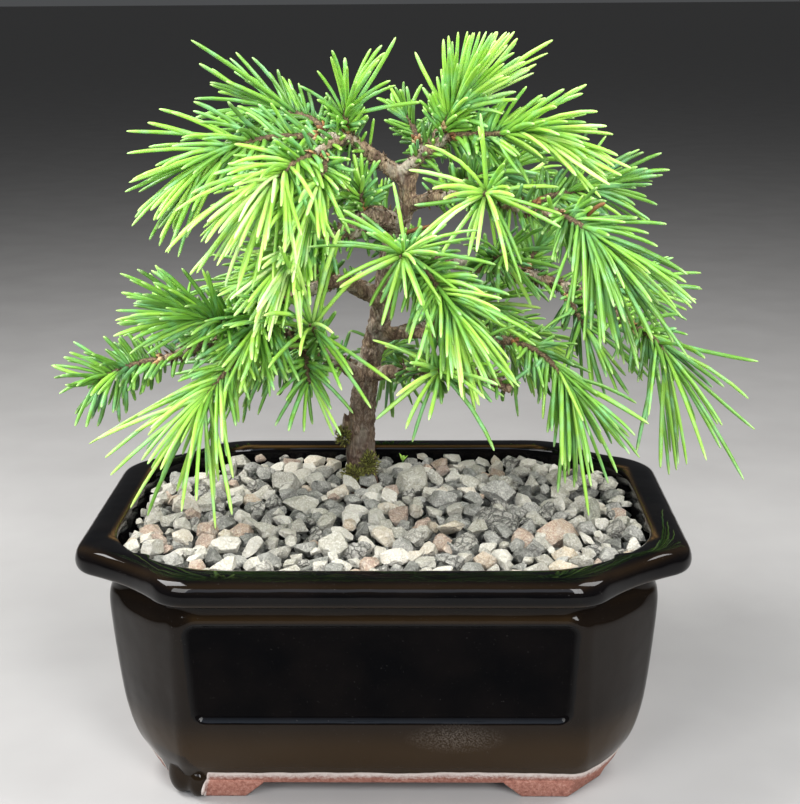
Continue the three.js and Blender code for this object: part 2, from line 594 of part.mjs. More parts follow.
// The twig as rings, each turned half a side from the last, with its faces in winding order
function twigSkin(curve, bands) {
  const frames = curve.computeFrenetFrames(bands, false);
  const points = [];
  for (let j = 0; j <= bands; j++) {
    const centre = curve.getPointAt(j / bands);
    const radius = mix(TWIG_RADIUS, TWIG_TIP_RADIUS, j / bands);
    for (let s = 0; s < TWIG_SIDES; s++) {
      const angle = ((s + j / 2) / TWIG_SIDES) * Math.PI * 2;
      points.push(centre.clone()
        .addScaledVector(frames.normals[j], radius * Math.cos(angle))
        .addScaledVector(frames.binormals[j], radius * Math.sin(angle)));
    }
  }
  const faces = [];
  for (let j = 0; j < bands; j++) {
    for (let s = 0; s < TWIG_SIDES; s++) {
      const next = (s + 1) % TWIG_SIDES;
      const low = j * TWIG_SIDES;
      const high = low + TWIG_SIDES;
      faces.push([low + s, low + next, high + s]);
      faces.push([high + s, low + next, high + next]);
    }
  }
  const last = bands * TWIG_SIDES;
  points.push(curve.getPointAt(0));
  points.push(curve.getPointAt(1).addScaledVector(curve.getTangentAt(1), 0.9));
  for (let s = 0; s < TWIG_SIDES; s++) {
    const next = (s + 1) % TWIG_SIDES;
    faces.push([last + s, last + next, points.length - 1]);
    faces.push([next, s, points.length - 2]);
  }
  return { points, faces };
}

// Where the needle on one face points: away from the twig, leaning ahead, and hanging a little.
// Needles lean more towards the twig's tip.
function needleDirection(shoot, curve, t, root, leanShift, turn) {
  const axis = curve.getTangentAt(t);
  const outward = root.clone().sub(curve.getPointAt(t));
  outward.addScaledVector(axis, -outward.dot(axis)).normalize().applyAxisAngle(axis, turn);
  const degrees = mix(shoot.lean[0], shoot.lean[1], t ** 1.4) + leanShift;
  const lean = THREE.MathUtils.degToRad(Math.max(degrees, LEAST_LEAN));
  const direction = axis.multiplyScalar(Math.cos(lean)).addScaledVector(outward, Math.sin(lean));
  direction.z -= shoot.droop * DROOP_SHARE;
  return direction.normalize();
}

// How the direction may be bent to pass clear of what is near: degrees of lean and of turn
const BENDS = [
  [0, 0], [8, 6], [-8, -6], [4, -14], [-4, 14], [14, 0], [-14, 0], [0, 24], [0, -24], [20, 18],
];

// A twig with its needles. They stand on every third face, so they wind round it. Each needle
// replaces its face by three sides that run to a shoulder and close in a short blunt point.
function makeShoot(shoot, number) {
  const draw = seeded(500 + number * 17);
  const owner = 'spray_' + shoot.name;
  const curve = new THREE.CatmullRomCurve3(shootPath(shoot), false, 'centripetal');
  const bare = shoot.bare || 0;
  const bands = Math.ceil((shoot.count * FACE_STEP) / FACES_PER_BAND / (1 - bare));
  const { points, faces } = twigSkin(curve, bands);
  const sideFaces = bands * FACES_PER_BAND;
  const triangles = [];
  faces.forEach((face, f) => {
    const isTip = f >= sideFaces && (f - sideFaces) % 2 === 0;
    const firstSeat = Math.max(TWIG_SIDES, bare * sideFaces);
    const isSeat = f < sideFaces && f % FACE_STEP === 1 && f > firstSeat;
    const needle = isTip || isSeat ? placeNeedle(f / sideFaces, face) : null;
    if (!needle) {
      triangles.push(face);
      return;
    }
    const first = points.length;
    points.push(...needle);
    for (let k = 0; k < 3; k++) {
      const next = (k + 1) % 3;
      triangles.push([face[k], face[next], first + next], [face[k], first + next, first + k]);
      triangles.push([first + k, first + next, first + 3]);
    }
  });

  function placeNeedle(place, face) {
    const [a, b, c] = face.map((k) => points[k]);
    const root = a.clone().add(b).add(c).divideScalar(3);
    const normal = b.clone().sub(a).cross(c.clone().sub(a)).normalize();
    const t = Math.min(place, 1);
    const jitterLean = (draw() - 0.5) * LEAN_JITTER;
    const jitterTurn = (draw() - 0.5) * TURN_JITTER;
    const length = shoot.reach * (0.84 + 0.26 * draw());
    for (const [lean, turn] of BENDS) {
      const bend = jitterTurn + THREE.MathUtils.degToRad(turn);
      const direction = needleDirection(shoot, curve, t, root, jitterLean + lean, bend);
      const tip = root.clone().addScaledVector(direction, length);
      const past = root.clone().addScaledVector(direction, ROOT_CLEAR);
      if (direction.dot(normal) < 0.2 || tip.z < LOWEST_NEEDLE_Z) continue;
      if (!isClear(owner, root, past, tip)) continue;
      addNeedle(owner, root, past, tip);
      const side = a.clone().sub(root);
      side.addScaledVector(direction, -side.dot(direction)).setLength(NEEDLE_RADIUS);
      const centre = root.clone().lerp(tip, NEEDLE_SHOULDER);
      const shoulder = [0, 1, 2].map((k) => {
        return side.clone().applyAxisAngle(direction, (k * 2 * Math.PI) / 3).add(centre);
      });
      return [...shoulder, tip];
    }
    return null;
  }

  const geometry = new THREE.BufferGeometry().setFromPoints(points);
  geometry.setIndex(triangles.flat());
  return toSolid(geometry);
}

// The finished assembly
const bonsai = new THREE.Group();

function addMesh(name, solid, color, roughness) {
  const material = new THREE.MeshStandardMaterial({ color, roughness, metalness: 0 });
  const mesh = new THREE.Mesh(toGeometry(solid), material);
  mesh.name = name;
  bonsai.add(mesh);
}

addMesh('pot', makePot(), 0x0b0a0c, 0.08);
addMesh('drain_mesh_left', makeDrainMesh(-DRAIN_HOLE_X), 0x20231f, 0.6);
addMesh('drain_mesh_right', makeDrainMesh(DRAIN_HOLE_X), 0x20231f, 0.6);
addMesh('soil', makeSoil(), 0x3b2c22, 0.95);
addMesh('gravel', makeGravel(), 0x8d8c8a, 0.85);
addMesh('wood', makeWood(), 0x6d5a4c, 0.9);

limbs.forEach(({ points, radii }) => {
  addLines('wood', points.map((p) => vec(...p)), (t) => radii[Math.floor(t * radii.length)]);
});
shoots.forEach((shoot) => {
  addLines('spray_' + shoot.name, shootPath(shoot), () => TWIG_RADIUS);
});
shoots.forEach((shoot, number) => {
  addMesh('spray_' + shoot.name, makeShoot(shoot, number), 0x7fae45, 0.5);
});

// The frame's origin is below the middle of the whole object, on the surface it stands on
const whole = new THREE.Box3().setFromObject(bonsai);
const middle = whole.getCenter(vec(0, 0, 0));
bonsai.children.forEach((mesh) => mesh.geometry.translate(-middle.x, -middle.y, -whole.min.z));

export default bonsai;
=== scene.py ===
"""A prostrate deodar cedar bonsai in a glazed pot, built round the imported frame."""

import math
import random

import bpy
import numpy as np
from mathutils import Matrix, Vector, kdtree, noise


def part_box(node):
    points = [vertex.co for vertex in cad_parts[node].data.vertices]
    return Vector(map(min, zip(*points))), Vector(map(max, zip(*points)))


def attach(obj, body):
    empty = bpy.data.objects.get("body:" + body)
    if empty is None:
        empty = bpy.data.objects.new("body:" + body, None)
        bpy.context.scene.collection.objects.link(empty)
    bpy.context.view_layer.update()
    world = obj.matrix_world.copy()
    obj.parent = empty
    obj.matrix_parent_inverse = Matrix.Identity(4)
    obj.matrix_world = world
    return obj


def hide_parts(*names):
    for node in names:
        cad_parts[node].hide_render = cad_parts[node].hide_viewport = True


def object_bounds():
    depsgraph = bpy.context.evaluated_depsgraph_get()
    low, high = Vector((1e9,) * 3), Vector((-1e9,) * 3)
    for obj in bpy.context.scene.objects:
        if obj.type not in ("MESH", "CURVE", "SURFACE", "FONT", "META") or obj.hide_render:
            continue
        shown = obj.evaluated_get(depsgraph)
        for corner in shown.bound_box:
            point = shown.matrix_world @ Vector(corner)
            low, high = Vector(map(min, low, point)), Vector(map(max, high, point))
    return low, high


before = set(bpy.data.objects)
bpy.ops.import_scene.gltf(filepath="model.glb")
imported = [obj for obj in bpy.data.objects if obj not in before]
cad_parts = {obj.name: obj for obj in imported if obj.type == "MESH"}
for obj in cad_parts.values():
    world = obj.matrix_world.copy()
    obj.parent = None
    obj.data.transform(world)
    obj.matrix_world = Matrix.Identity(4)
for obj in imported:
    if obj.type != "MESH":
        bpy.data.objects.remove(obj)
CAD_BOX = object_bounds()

bpy.ops.object.select_all(action="DESELECT")

# The plan's origin is the pot's middle, on the ground, in millimetres
MM = 0.001
POT_LOW, POT_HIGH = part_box("pot")
POT_X = (POT_LOW.x + POT_HIGH.x) / 2
POT_Y = (POT_LOW.y + POT_HIGH.y) / 2

# The camera, in the plan's millimetres, and the angles in degrees that it looks at
CAMERA_PLACE = (10.8, -389.3, 200.0)
CAMERA_PITCH = 15.09
CAMERA_TURN = 0.97
CAMERA_ROLL = -0.37
CAMERA_LENS = 66.2
SENSOR = 36.0

# The pot: outline, wall, recessed panels, and the glaze's drip and dull patch
RIM_HALF_X = 79.5
RIM_HALF_Y = 61.5
POT_HEIGHT = 67
FLAT_HALF_X = 50.5
FLAT_HALF_Y = 36
FLAT_SHARE_Y = 0.36
CORNER_SAG = 1.6
FOOT_HEIGHT = 4.5
FLOOR_TOP = 10
RIM_TOP_INSET = 9.6
FASCIA_MIDDLE_Z = 63
FASCIA_LOW_Z = 58
PANEL_DEPTH = 1.5
PANEL_ROUND = 2.8
PANEL_FILLET = 2.4
PANEL_MIDDLE_Z = 38.7
PANEL_HALF_Z = 13.3
PANEL_HALF_X = 47.8
PANEL_HALF_Y = 29.5
PANEL_TAPER = 0.05
PANELLED_BELOW_Z = 56
WALL_ROWS = 132
POOL_EDGE = 1.8
DRAIN_HOLE_X = 30
DRAIN_HOLE_RADIUS = 5.5
GLAZE_LINE_Z = 8.5
DRIP_PLACE = (-52, -41.5)
DRIP_RADIUS = 6.2
DRIP_DROP = 9.5
DRIP_TOP_Z = 14
DRIP_VOXEL = 0.4
DRIP_SMOOTHING = 45
CUT_TURN = -42
HAZE_PLACE = (18.7, -47, 20.5)
HAZE_SQUEEZE = (1 / 12.7, 1 / 12.7, 1 / 4.6)
# The drip's lobes: middle, and half its size along the cut corner, through it and up
DRIP_LOBES = [
    (-53, -41.3, 5.9, 4.2, 3.0, 5.8),
    (-48.4, -43.9, 4.6, 3.0, 2.6, 4.5),
    (-52.6, -41.4, 11, 4.6, 2.8, 6.5),
]

# The gravel
GRAVEL_BED_Z = 59.2
GRAVEL_TOP_Z = 62.6
GRAVEL_MOUND = 1.6
STONE_KINDS = 16
STONE_CUTS = 15
WALL_INSET = 10.4
TRUNK_PLACE = (-8, 30)
TRUNK_ROOM = 4.6
# Each layer of stones: the largest and smallest radius, how many tries, how close they may stand,
# the height of their middles, how much that varies, and how pale they are
# The lower layer's small paleness darkens its stones as painted shade in the gaps
STONE_LAYERS = [
    (3.5, 1.4, 30000, 0.87, GRAVEL_TOP_Z, 1.3, 1),
    (2.6, 1.5, 9000, 0.9, GRAVEL_TOP_Z - 2.6, 0.6, 0.15),
]

# The shoots. Needles wind round a twig by the golden angle, counted from the zero turn
GOLDEN_ANGLE = math.radians(137.508)
ZERO_TURN = (0.31, 0.17, 0.93)
TWIG_RADIUS = 1.1
TWIG_TIP_RADIUS = 0.55
TWIG_STEPS = 24
SHOOT_SEED = 500
END_SEAT = 0.5
SEAT_DEPTH = 0.6
BUD_SCALES = 12
SHORT_NEEDLES = 22
NEEDLE_RADIUS = 0.61
# How many needles stand for each of the solid's, and how much closer they stand near the tip
NEEDLE_CROWD = 4.1
TIP_CROWDING = 0.85
# The needles' length at the twig's foot and tip as shares of their reach, and where along the
# twig, as shares of it, they begin to grow longer and how far on they have their full length
FOOT_SHARE = 0.45
TIP_SHARE = 1.12
FAN_FROM = 0.22
FAN_SPREAD = 0.55
# How needles hang and arch, the least angle between needle and twig in degrees, and their room
DROOP_SHARE = 0.8
ARCH_SHARE = 0.045
LEAST_LEAN = 6
SHORTEST_NEEDLE = 4
LOWEST_NEEDLE_Z = 66.5
BOX_ROOM = 0.2

# The bark: the size of its plates, lumps and grain, and how far each stands out
BARK_VOXEL = 0.42
BARK_SMOOTHING = 4
PLATE_SIZE = (1.7, 1.7, 3.2)
PLATE_RELIEF = 0.3
LUMP_SIZE = 3.4
LUMP_RELIEF = 0.38
GRAIN_SIZE = 0.8
GRAIN_RELIEF = 0.12
# Damp from the gravel darkens it below the second height, and most of all at the first
DAMP_FROM_Z = 66
DAMP_TO_Z = 98


def plan(x, y, z):
    """A point of the plan as a point of the frame, in metres."""
    return Vector((POT_X + x * MM, POT_Y + y * MM, z * MM))


def mix(a, b, t):
    return a + (b - a) * t


def unit(vector):
    return vector / np.linalg.norm(vector)


def smooth_step(value):
    t = min(max(value, 0.0), 1.0)
    return t * t * (3 - 2 * t)


def length_of(points):
    return sum(math.dist(a, b) for a, b in zip(points, points[1:]))


def any_vector(draw):
    return np.array([draw.gauss(0, 1) for _ in range(3)])


# Materials


def linear(hex_colour):
    """An sRGB hex colour as linear RGBA."""
    parts = [int(hex_colour[i : i + 2], 16) / 255 for i in (1, 3, 5)]
    return [c / 12.92 if c <= 0.04045 else ((c + 0.055) / 1.055) ** 2.4 for c in parts] + [1.0]


def add_node(tree, kind, *values, gives=None, stops=(), **named):
    """Adds a shader node and returns the output named by gives, or else its first one in use.

    The values go to its sockets in order. A name that starts with a capital is a socket's, with _
    for each space, and any other is a setting's. A socket is given a plain value, a hex colour or
    another node's output to link. Stops are the places and hex colours of a colour ramp.
    """
    made = tree.nodes.new("ShaderNode" + kind)
    for name, value in named.items():
        if not name[0].isupper():
            setattr(made, name, value)
    given = list(zip(made.inputs, values))
    for name, value in named.items():
        if name[0].isupper():
            label = name.replace("_", " ")
            given.append((next(s for s in made.inputs if s.enabled and s.name == label), value))
    for socket, value in given:
        if isinstance(value, bpy.types.NodeSocket):
            tree.links.new(value, socket)
        else:
            socket.default_value = linear(value) if isinstance(value, str) else value
    # A new ramp has two stops already
    for _ in stops[2:]:
        made.color_ramp.elements.new(0.5)
    for number, (place, colour) in enumerate(stops):
        made.color_ramp.elements[number].position = place
        made.color_ramp.elements[number].color = linear(colour)
    outputs = [o for o in made.outputs if o.enabled and gives in (None, o.name)]
    return outputs[0] if outputs else None


def new_material(name):
    """An empty node material, and its tree."""
    material = bpy.data.materials.new(name)
    material.use_nodes = True
    material.node_tree.nodes.clear()
    return material, material.node_tree


def set_surface(tree, **sockets):
    """Ends a material with a Principled shader."""
    shader = add_node(tree, "BsdfPrincipled", **sockets)
    add_node(tree, "OutputMaterial", Surface=shader)


def place_of(tree, scale=(1, 1, 1)):
    """Object coordinates in millimetres, stretched by scale."""
    coordinates = add_node(tree, "TexCoord", gives="Object")
    return add_node(tree, "Mapping", Vector=coordinates, Scale=[share / MM for share in scale])


def patched(tree, under, colour, cloud, low, high, most):
    """Another colour laid over one in patches: up to this much where a cloud rises past high."""
    share = add_node(tree, "MapRange", Value=cloud, From_Min=low, From_Max=high, To_Max=most)
    return add_node(tree, "Mix", Factor=share, A=under, B=colour, data_type="RGBA")


def make_glaze():
    """Black iron glaze over red stoneware, dipped and fired: wet shine, brown where it runs thin.

    Below its line the biscuit clay shows, matt and pinkish, with a pale rim of unmelted glaze.
    One thick drip has run down over the front left foot. Low on the wall its brown is partly a painted
    reflection of brown wood.
    """
    material, tree = new_material("glazed_stoneware")
    place = place_of(tree)
    # Height above the wandering glaze line, which drops round the drip
    height = add_node(tree, "SeparateXYZ", Vector=place, gives="Z")
    waves = add_node(tree, "TexNoise", Vector=place, Scale=1 / 11, Detail=2.0)
    wander = add_node(tree, "Math", waves, 1.6, operation="MULTIPLY")
    drip_foot = (POT_X / MM + DRIP_PLACE[0], POT_Y / MM + DRIP_PLACE[1], 0)
    from_drip = add_node(tree, "VectorMath", place, drip_foot, operation="SUBTRACT")
    flat = add_node(tree, "VectorMath", from_drip, (1, 0.75, 0), operation="MULTIPLY")
    away = add_node(tree, "VectorMath", flat, gives="Value", operation="LENGTH")
    run = add_node(
        tree, "MapRange", Value=away, From_Min=DRIP_RADIUS - 2, From_Max=DRIP_RADIUS + 1.6,
        To_Min=DRIP_DROP, To_Max=0.0, interpolation_type="SMOOTHSTEP",
    )
    dry = add_node(tree, "Math", height, wander, operation="SUBTRACT")
    line = add_node(tree, "Math", dry, run, operation="ADD")
    glazed = add_node(
        tree, "MapRange", Value=line, From_Min=GLAZE_LINE_Z - 1.15, From_Max=GLAZE_LINE_Z - 0.85
    )
    # Biscuit clay, with a ragged pale rim where the glaze ends
    frit = add_node(tree, "TexNoise", Vector=place, Scale=1 / 0.9, Detail=5.0, Roughness=0.7)
    ragged = add_node(tree, "Math", frit, 3.4, operation="MULTIPLY")
    above = add_node(tree, "Math", line, ragged, operation="ADD")
    pale = add_node(tree, "MapRange", Value=above, From_Min=GLAZE_LINE_Z - 1.7, From_Max=GLAZE_LINE_Z)
    clay = add_node(
        tree, "ValToRGB", Fac=frit, stops=[(0.28, "#694036"), (0.5, "#8F6154"), (0.75, "#AC8476")]
    )
    edged = add_node(tree, "Mix", Factor=pale, A=clay, B="#C6BBB4", data_type="RGBA")
    # Black glaze, brown where it lies thin and, low on the wall, partly as a painted reflection of brown
    # wood, with dust specks
    cloud = add_node(tree, "TexNoise", Vector=place, Scale=1 / 14, Detail=4.0)
    deep = add_node(tree, "ValToRGB", Fac=cloud, stops=[(0.35, "#040405"), (0.7, "#0A0808")])
    thinness_and_reflection = add_node(tree, "Attribute", gives="Fac", attribute_name="thin_glaze_and_reflection")
    thin = add_node(tree, "Mix", Factor=thinness_and_reflection, A=deep, B="#4E3A20", data_type="RGBA")
    dots = add_node(tree, "TexNoise", Vector=place, Scale=1 / 0.45, Detail=2.0)
    dusted = patched(tree, thin, "#6A6764", dots, 0.72, 0.8, 0.3)
    # A dull fleck-speckled patch low on the front
    from_haze = add_node(tree, "VectorMath", place, plan(*HAZE_PLACE) / MM, operation="SUBTRACT")
    squeezed = add_node(tree, "VectorMath", from_haze, HAZE_SQUEEZE, operation="MULTIPLY")
    off = add_node(tree, "VectorMath", squeezed, gives="Value", operation="LENGTH")
    hazy = add_node(tree, "MapRange", Value=off, From_Min=1.1, From_Max=0.3, To_Max=1.0)
    flecks = add_node(tree, "MapRange", Value=dots, From_Min=0.4, From_Max=0.75, To_Max=0.22)
    haze = add_node(tree, "Math", hazy, flecks, operation="MULTIPLY")
    hazed = add_node(tree, "Mix", Factor=haze, A=dusted, B="#9A8F84", data_type="RGBA")
    colour = add_node(tree, "Mix", Factor=glazed, A=edged, B=hazed, data_type="RGBA")
    # Shine, smudged by hands on the glaze and matt on the clay
    smears = add_node(tree, "TexNoise", Vector=place, Scale=1 / 22, Detail=5.0)
    smudge = add_node(
        tree, "MapRange", Value=smears, From_Min=0.45, From_Max=0.75, To_Min=0.03, To_Max=0.1
    )
    gloss = add_node(tree, "Mix", Factor=glazed, A=0.82, B=smudge)
    swell = add_node(tree, "TexNoise", Vector=place, Scale=1 / 9, Detail=1.5)
    skin = add_node(tree, "Mix", Factor=glazed, A=frit, B=swell)
    relief = add_node(tree, "Bump", Height=skin, Distance=0.24 * MM)
    sheen = add_node(
        tree, "MapRange", Value=thinness_and_reflection, From_Min=-1.0, From_Max=0.0, To_Min=0.04, To_Max=0.28
    )
    set_surface(
        tree, Base_Color=colour, Roughness=gloss, Normal=relief, IOR=1.36, Specular_IOR_Level=sheen
    )
    return material


def make_gravel_material():
    """Crushed granite and basalt, broken not tumbled: matt, pitted, each stone its own grey."""
    material, tree = new_material("crushed_granite")
    place = place_of(tree)
    # Each stone's own colour, freckled with dark and pale grains and a little dust
    tone = add_node(tree, "Attribute", gives="Fac", attribute_name="stone_tone")
    stone = add_node(
        tree, "ValToRGB", Fac=tone,
        stops=[
            (0.0, "#50504B"), (0.2, "#96968E"), (0.42, "#B6B4AC"), (0.62, "#CBC8BE"), (0.78, "#E2DED4"),
            (0.86, "#CBBBA4"), (0.94, "#BEA99A"), (1.0, "#98A392"),
        ],
    )
    grain = add_node(tree, "TexNoise", Vector=place, Scale=1 / 0.5, Detail=6.0, Roughness=0.72)
    shade = add_node(
        tree, "ValToRGB", Fac=grain, stops=[(0.28, "#222222"), (0.5, "#8C8B89"), (0.7, "#F4F2EC")]
    )
    spotted = add_node(
        tree, "Mix", Factor=0.62, A=stone, B=shade, data_type="RGBA", blend_type="OVERLAY"
    )
    patches = add_node(tree, "TexNoise", Vector=place, Scale=1 / 2.4, Detail=4.0, Roughness=0.6)
    colour = patched(tree, spotted, "#D6D4CA", patches, 0.48, 0.7, 0.4)
    # A few layered stones have bent dark seams
    swirl = add_node(tree, "TexNoise", Vector=place, Scale=1 / 1.8, Detail=3.0, gives="Color")
    bent_place = add_node(tree, "VectorMath", swirl, (2.4, 2.4, 2.4), place, operation="MULTIPLY_ADD")
    from_seam = add_node(
        tree, "TexVoronoi", Vector=bent_place, Scale=1 / 2.2, gives="Distance",
        feature="DISTANCE_TO_EDGE",
    )
    seam = add_node(tree, "MapRange", Value=from_seam, From_Max=0.16, To_Min=0.9, To_Max=0.0)
    seamed = add_node(
        tree, "ValToRGB", Fac=tone,
        stops=[(0.46, "#000000"), (0.48, "#FFFFFF"), (0.52, "#FFFFFF"), (0.54, "#000000")],
    )
    crack = add_node(tree, "Math", seam, seamed, operation="MULTIPLY")
    cracked = add_node(tree, "Mix", Factor=crack, A=colour, B="#45453F", data_type="RGBA")
    # Pits and knobs, opened along the seams
    dull = add_node(tree, "MapRange", Value=grain, From_Min=0.2, From_Max=0.8, To_Min=0.75, To_Max=0.95)
    knobs = add_node(tree, "TexNoise", Vector=place, Scale=1 / 1.3, Detail=4.0, Roughness=0.65)
    pits = add_node(tree, "Mix", Factor=0.7, A=grain, B=knobs)
    opened = add_node(tree, "Math", crack, -0.22, pits, operation="MULTIPLY_ADD")
    relief = add_node(tree, "Bump", Height=opened, Distance=2.6 * MM)
    set_surface(tree, Base_Color=cracked, Roughness=dull, Normal=relief)
    return material


def make_bark():
    """Young cedar bark: grey-brown plates that flake off a redder layer, dull and dry.

    Thin wood is browner and smoother, and the old trunk greyer, with dusty lichen. Near the
    gravel the bark stays damp, dark and reddish.
    """
    material, tree = new_material("cedar_bark")
    place = place_of(tree, (1, 1, 0.45))
    # Young and old bark, cracked between its plates
    age = add_node(tree, "Attribute", gives="Fac", attribute_name="wood_age")
    plates = add_node(tree, "TexVoronoi", Vector=place, Scale=1 / 1.5, feature="DISTANCE_TO_EDGE")
    fine = add_node(tree, "TexNoise", Vector=place, Scale=1 / 0.6, Detail=6.0, Roughness=0.68)
    old = add_node(
        tree, "ValToRGB", Fac=fine,
        stops=[(0.28, "#48362C"), (0.42, "#927B66"), (0.56, "#BCA792"), (0.72, "#E0D5C6")],
    )
    young = add_node(
        tree, "ValToRGB", Fac=fine, stops=[(0.28, "#54402E"), (0.48, "#9C8266"), (0.76, "#D0BB9C")]
    )
    oldness = add_node(tree, "MapRange", Value=age, From_Min=0.1, From_Max=0.5)
    aged = add_node(tree, "Mix", Factor=oldness, A=young, B=old, data_type="RGBA")
    crack = add_node(
        tree, "MapRange", Value=plates, From_Min=0.02, From_Max=0.14, To_Min=0.4, To_Max=0.0
    )
    cracked = add_node(tree, "Mix", Factor=crack, A=aged, B="#33261E", data_type="RGBA")
    # Scars of shed plates, lichen, and damp near the gravel
    blotches = add_node(tree, "TexNoise", Vector=place, Scale=1 / 2.2, Detail=6.0, Roughness=0.65)
    scarred = patched(tree, cracked, "#543E32", blotches, 0.47, 0.58, 0.85)
    broad = add_node(tree, "TexNoise", Vector=place, Scale=1 / 4.5, Detail=4.0)
    colour = patched(tree, scarred, "#C8BFAC", broad, 0.51, 0.63, 0.66)
    above_soil = add_node(tree, "SeparateXYZ", Vector=place_of(tree), gives="Z")
    damp = add_node(
        tree, "MapRange", Value=above_soil, From_Min=DAMP_FROM_Z, From_Max=DAMP_TO_Z,
        To_Min=0.85, To_Max=0.0,
    )
    damped = add_node(tree, "Mix", Factor=damp, A=colour, B="#4A3124", data_type="RGBA")
    stepped = add_node(tree, "MapRange", Value=plates, From_Max=0.3)
    height = add_node(tree, "Mix", Factor=0.6, A=stepped, B=fine)
    relief = add_node(tree, "Bump", Height=height, Distance=0.9 * MM)
    set_surface(tree, Base_Color=damped, Roughness=0.9, Normal=relief)
    return material


def make_needle_material():
    """Living cedar needles: waxy, half see-through, lime when young and bluer with age.

    The foot is darkened as painted shade, the point pale, and a bluish bloom lies on some sides.
    """
    material, tree = new_material("cedar_needle")
    place = place_of(tree)
    tone = add_node(tree, "Attribute", gives="Fac", attribute_name="needle_tone")
    along = add_node(tree, "Attribute", gives="Fac", attribute_name="needle_along")
    drift = add_node(tree, "TexNoise", Vector=place, Scale=1 / 6, Detail=2.0)
    body = add_node(
        tree, "ValToRGB", Fac=tone,
        stops=[
            (0.0, "#34481E"), (0.2, "#547E32"), (0.4, "#72A63F"), (0.6, "#92C248"), (0.8, "#B2DA62"),
            (1.0, "#DCEFA8"),
        ],
    )
    bloomed = patched(tree, body, "#83C497", drift, 0.48, 0.68, 0.42)
    # Painted shade: each needle's foot, by the twig, is darkened
    foot = add_node(tree, "MapRange", Value=along, From_Max=0.22, To_Min=0.6, To_Max=0.0)
    foot_in_painted_shade = add_node(tree, "Mix", Factor=foot, A=bloomed, B="#4F7A34", data_type="RGBA")
    colour = patched(tree, foot_in_painted_shade, "#CBE39A", along, 0.9, 1.0, 0.45)
    streaks = add_node(tree, "TexNoise", Vector=place, Scale=2.0, Detail=2.0)
    relief = add_node(tree, "Bump", Height=streaks, Distance=0.06 * MM)
    set_surface(
        tree, Base_Color=colour, Roughness=0.36, Normal=relief, IOR=1.45, Subsurface_Weight=0.2,
        Subsurface_Radius=(0.0006, 0.0009, 0.0003), Subsurface_Scale=1.0,
    )
    return material


def make_soil():
    """Bonsai soil: crumbs of bark, pumice and loam, dark and dull."""
    material, tree = new_material("crumbly_bonsai_soil")
    place = place_of(tree)
    crumbs = add_node(tree, "TexVoronoi", Vector=place, Scale=1 / 2.4, gives="Color")
    kind = add_node(tree, "SeparateColor", Color=crumbs, gives="Red")
    colour = add_node(
        tree, "ValToRGB", Fac=kind,
        stops=[(0.0, "#2A1E16"), (0.5, "#4A3626"), (0.85, "#6B5644"), (1.0, "#A79B88")],
    )
    depth = add_node(tree, "TexVoronoi", Vector=place, Scale=1 / 2.4)
    relief = add_node(tree, "Bump", Height=depth, Distance=1.2 * MM)
    set_surface(tree, Base_Color=colour, Roughness=0.97, Normal=relief)
    return material


def make_grained(name, stops, grain, detail, softness, relief, roughness, by_tone=False):
    """A dull material of one grain, given in millimetres with the height of its relief.

    The grain colours it, or each blade's own tone does. Its roughness has a least and a most.
    """
    material, tree = new_material(name)
    fine = add_node(
        tree, "TexNoise", Vector=place_of(tree), Scale=1 / grain, Detail=detail, Roughness=softness
    )
    tone = add_node(tree, "Attribute", gives="Fac", attribute_name="needle_tone") if by_tone else fine
    colour = add_node(tree, "ValToRGB", Fac=tone, stops=stops)
    height = add_node(tree, "Bump", Height=fine, Distance=relief * MM)
    least, most = roughness
    satin = add_node(
        tree, "MapRange", Value=fine, From_Min=0.3, From_Max=0.7, To_Min=least, To_Max=most
    )
    set_surface(tree, Base_Color=colour, Roughness=satin, Normal=height)
    return material


GLAZE = make_glaze()
GRANITE = make_gravel_material()
BARK = make_bark()
NEEDLE = make_needle_material()
SOIL = make_soil()

# Stone dust and fine grit between the stones, damp and dull, coloured near black as painted shade in the
# gaps
GRIT_AND_SHADE_STOPS = [(0.3, "#100E0D"), (0.7, "#322F2B")]
GRIT = make_grained("grit_in_painted_shade", GRIT_AND_SHADE_STOPS, 0.8, 5, 0.7, 0.8, (0.95, 0.95))

# This year's twig: thin tan skin with darker leaf scars, a little satin
TWIG_STOPS = [(0.32, "#2E2014"), (0.5, "#5A4530"), (0.72, "#A08A62")]
TWIG_SKIN = make_grained("twig_skin", TWIG_STOPS, 0.6, 4, 0.7, 0.5, (0.7, 0.7))

# Dry bud scales left at a shoot's foot: papery, tan to rust
SCALE_STOPS = [(0, "#5E3820"), (0.5, "#9A6A3E"), (1, "#D2B68A")]
BUD_SCALE = make_grained("papery_bud_scale", SCALE_STOPS, 0.4, 3, 0.5, 0.1, (0.75, 0.75), True)

# Cushion moss: tiny soft leaves, olive to fresh green, no shine
MOSS_STOPS = [(0, "#3A331B"), (0.5, "#625F2A"), (1, "#929442")]
MOSS_LEAF = make_grained("cushion_moss", MOSS_STOPS, 0.3, 3, 0.5, 0.1, (0.9, 0.9), True)

# Drainage mesh: moulded black polypropylene with a faint grain, a little satin
MESH_STOPS = [(0.3, "#141613"), (0.7, "#262A24")]
MESH_PLASTIC = make_grained("moulded_polypropylene", MESH_STOPS, 0.4, 4, 0.5, 0.08, (0.45, 0.65))

# Pale matt studio board, nearly flat
FLOOR_STOPS = [(0.3, "#989694"), (0.7, "#9E9C9A")]
FLOOR = make_grained("pale_studio_board", FLOOR_STOPS, 40, 3, 0.5, 0, (0.85, 0.85))


# Modelling


def pick(*things):
    """Selects these objects alone, with the first one active."""
    bpy.ops.object.select_all(action="DESELECT")
    for thing in things:
        thing.select_set(True)
    bpy.context.view_layer.objects.active = things[0]


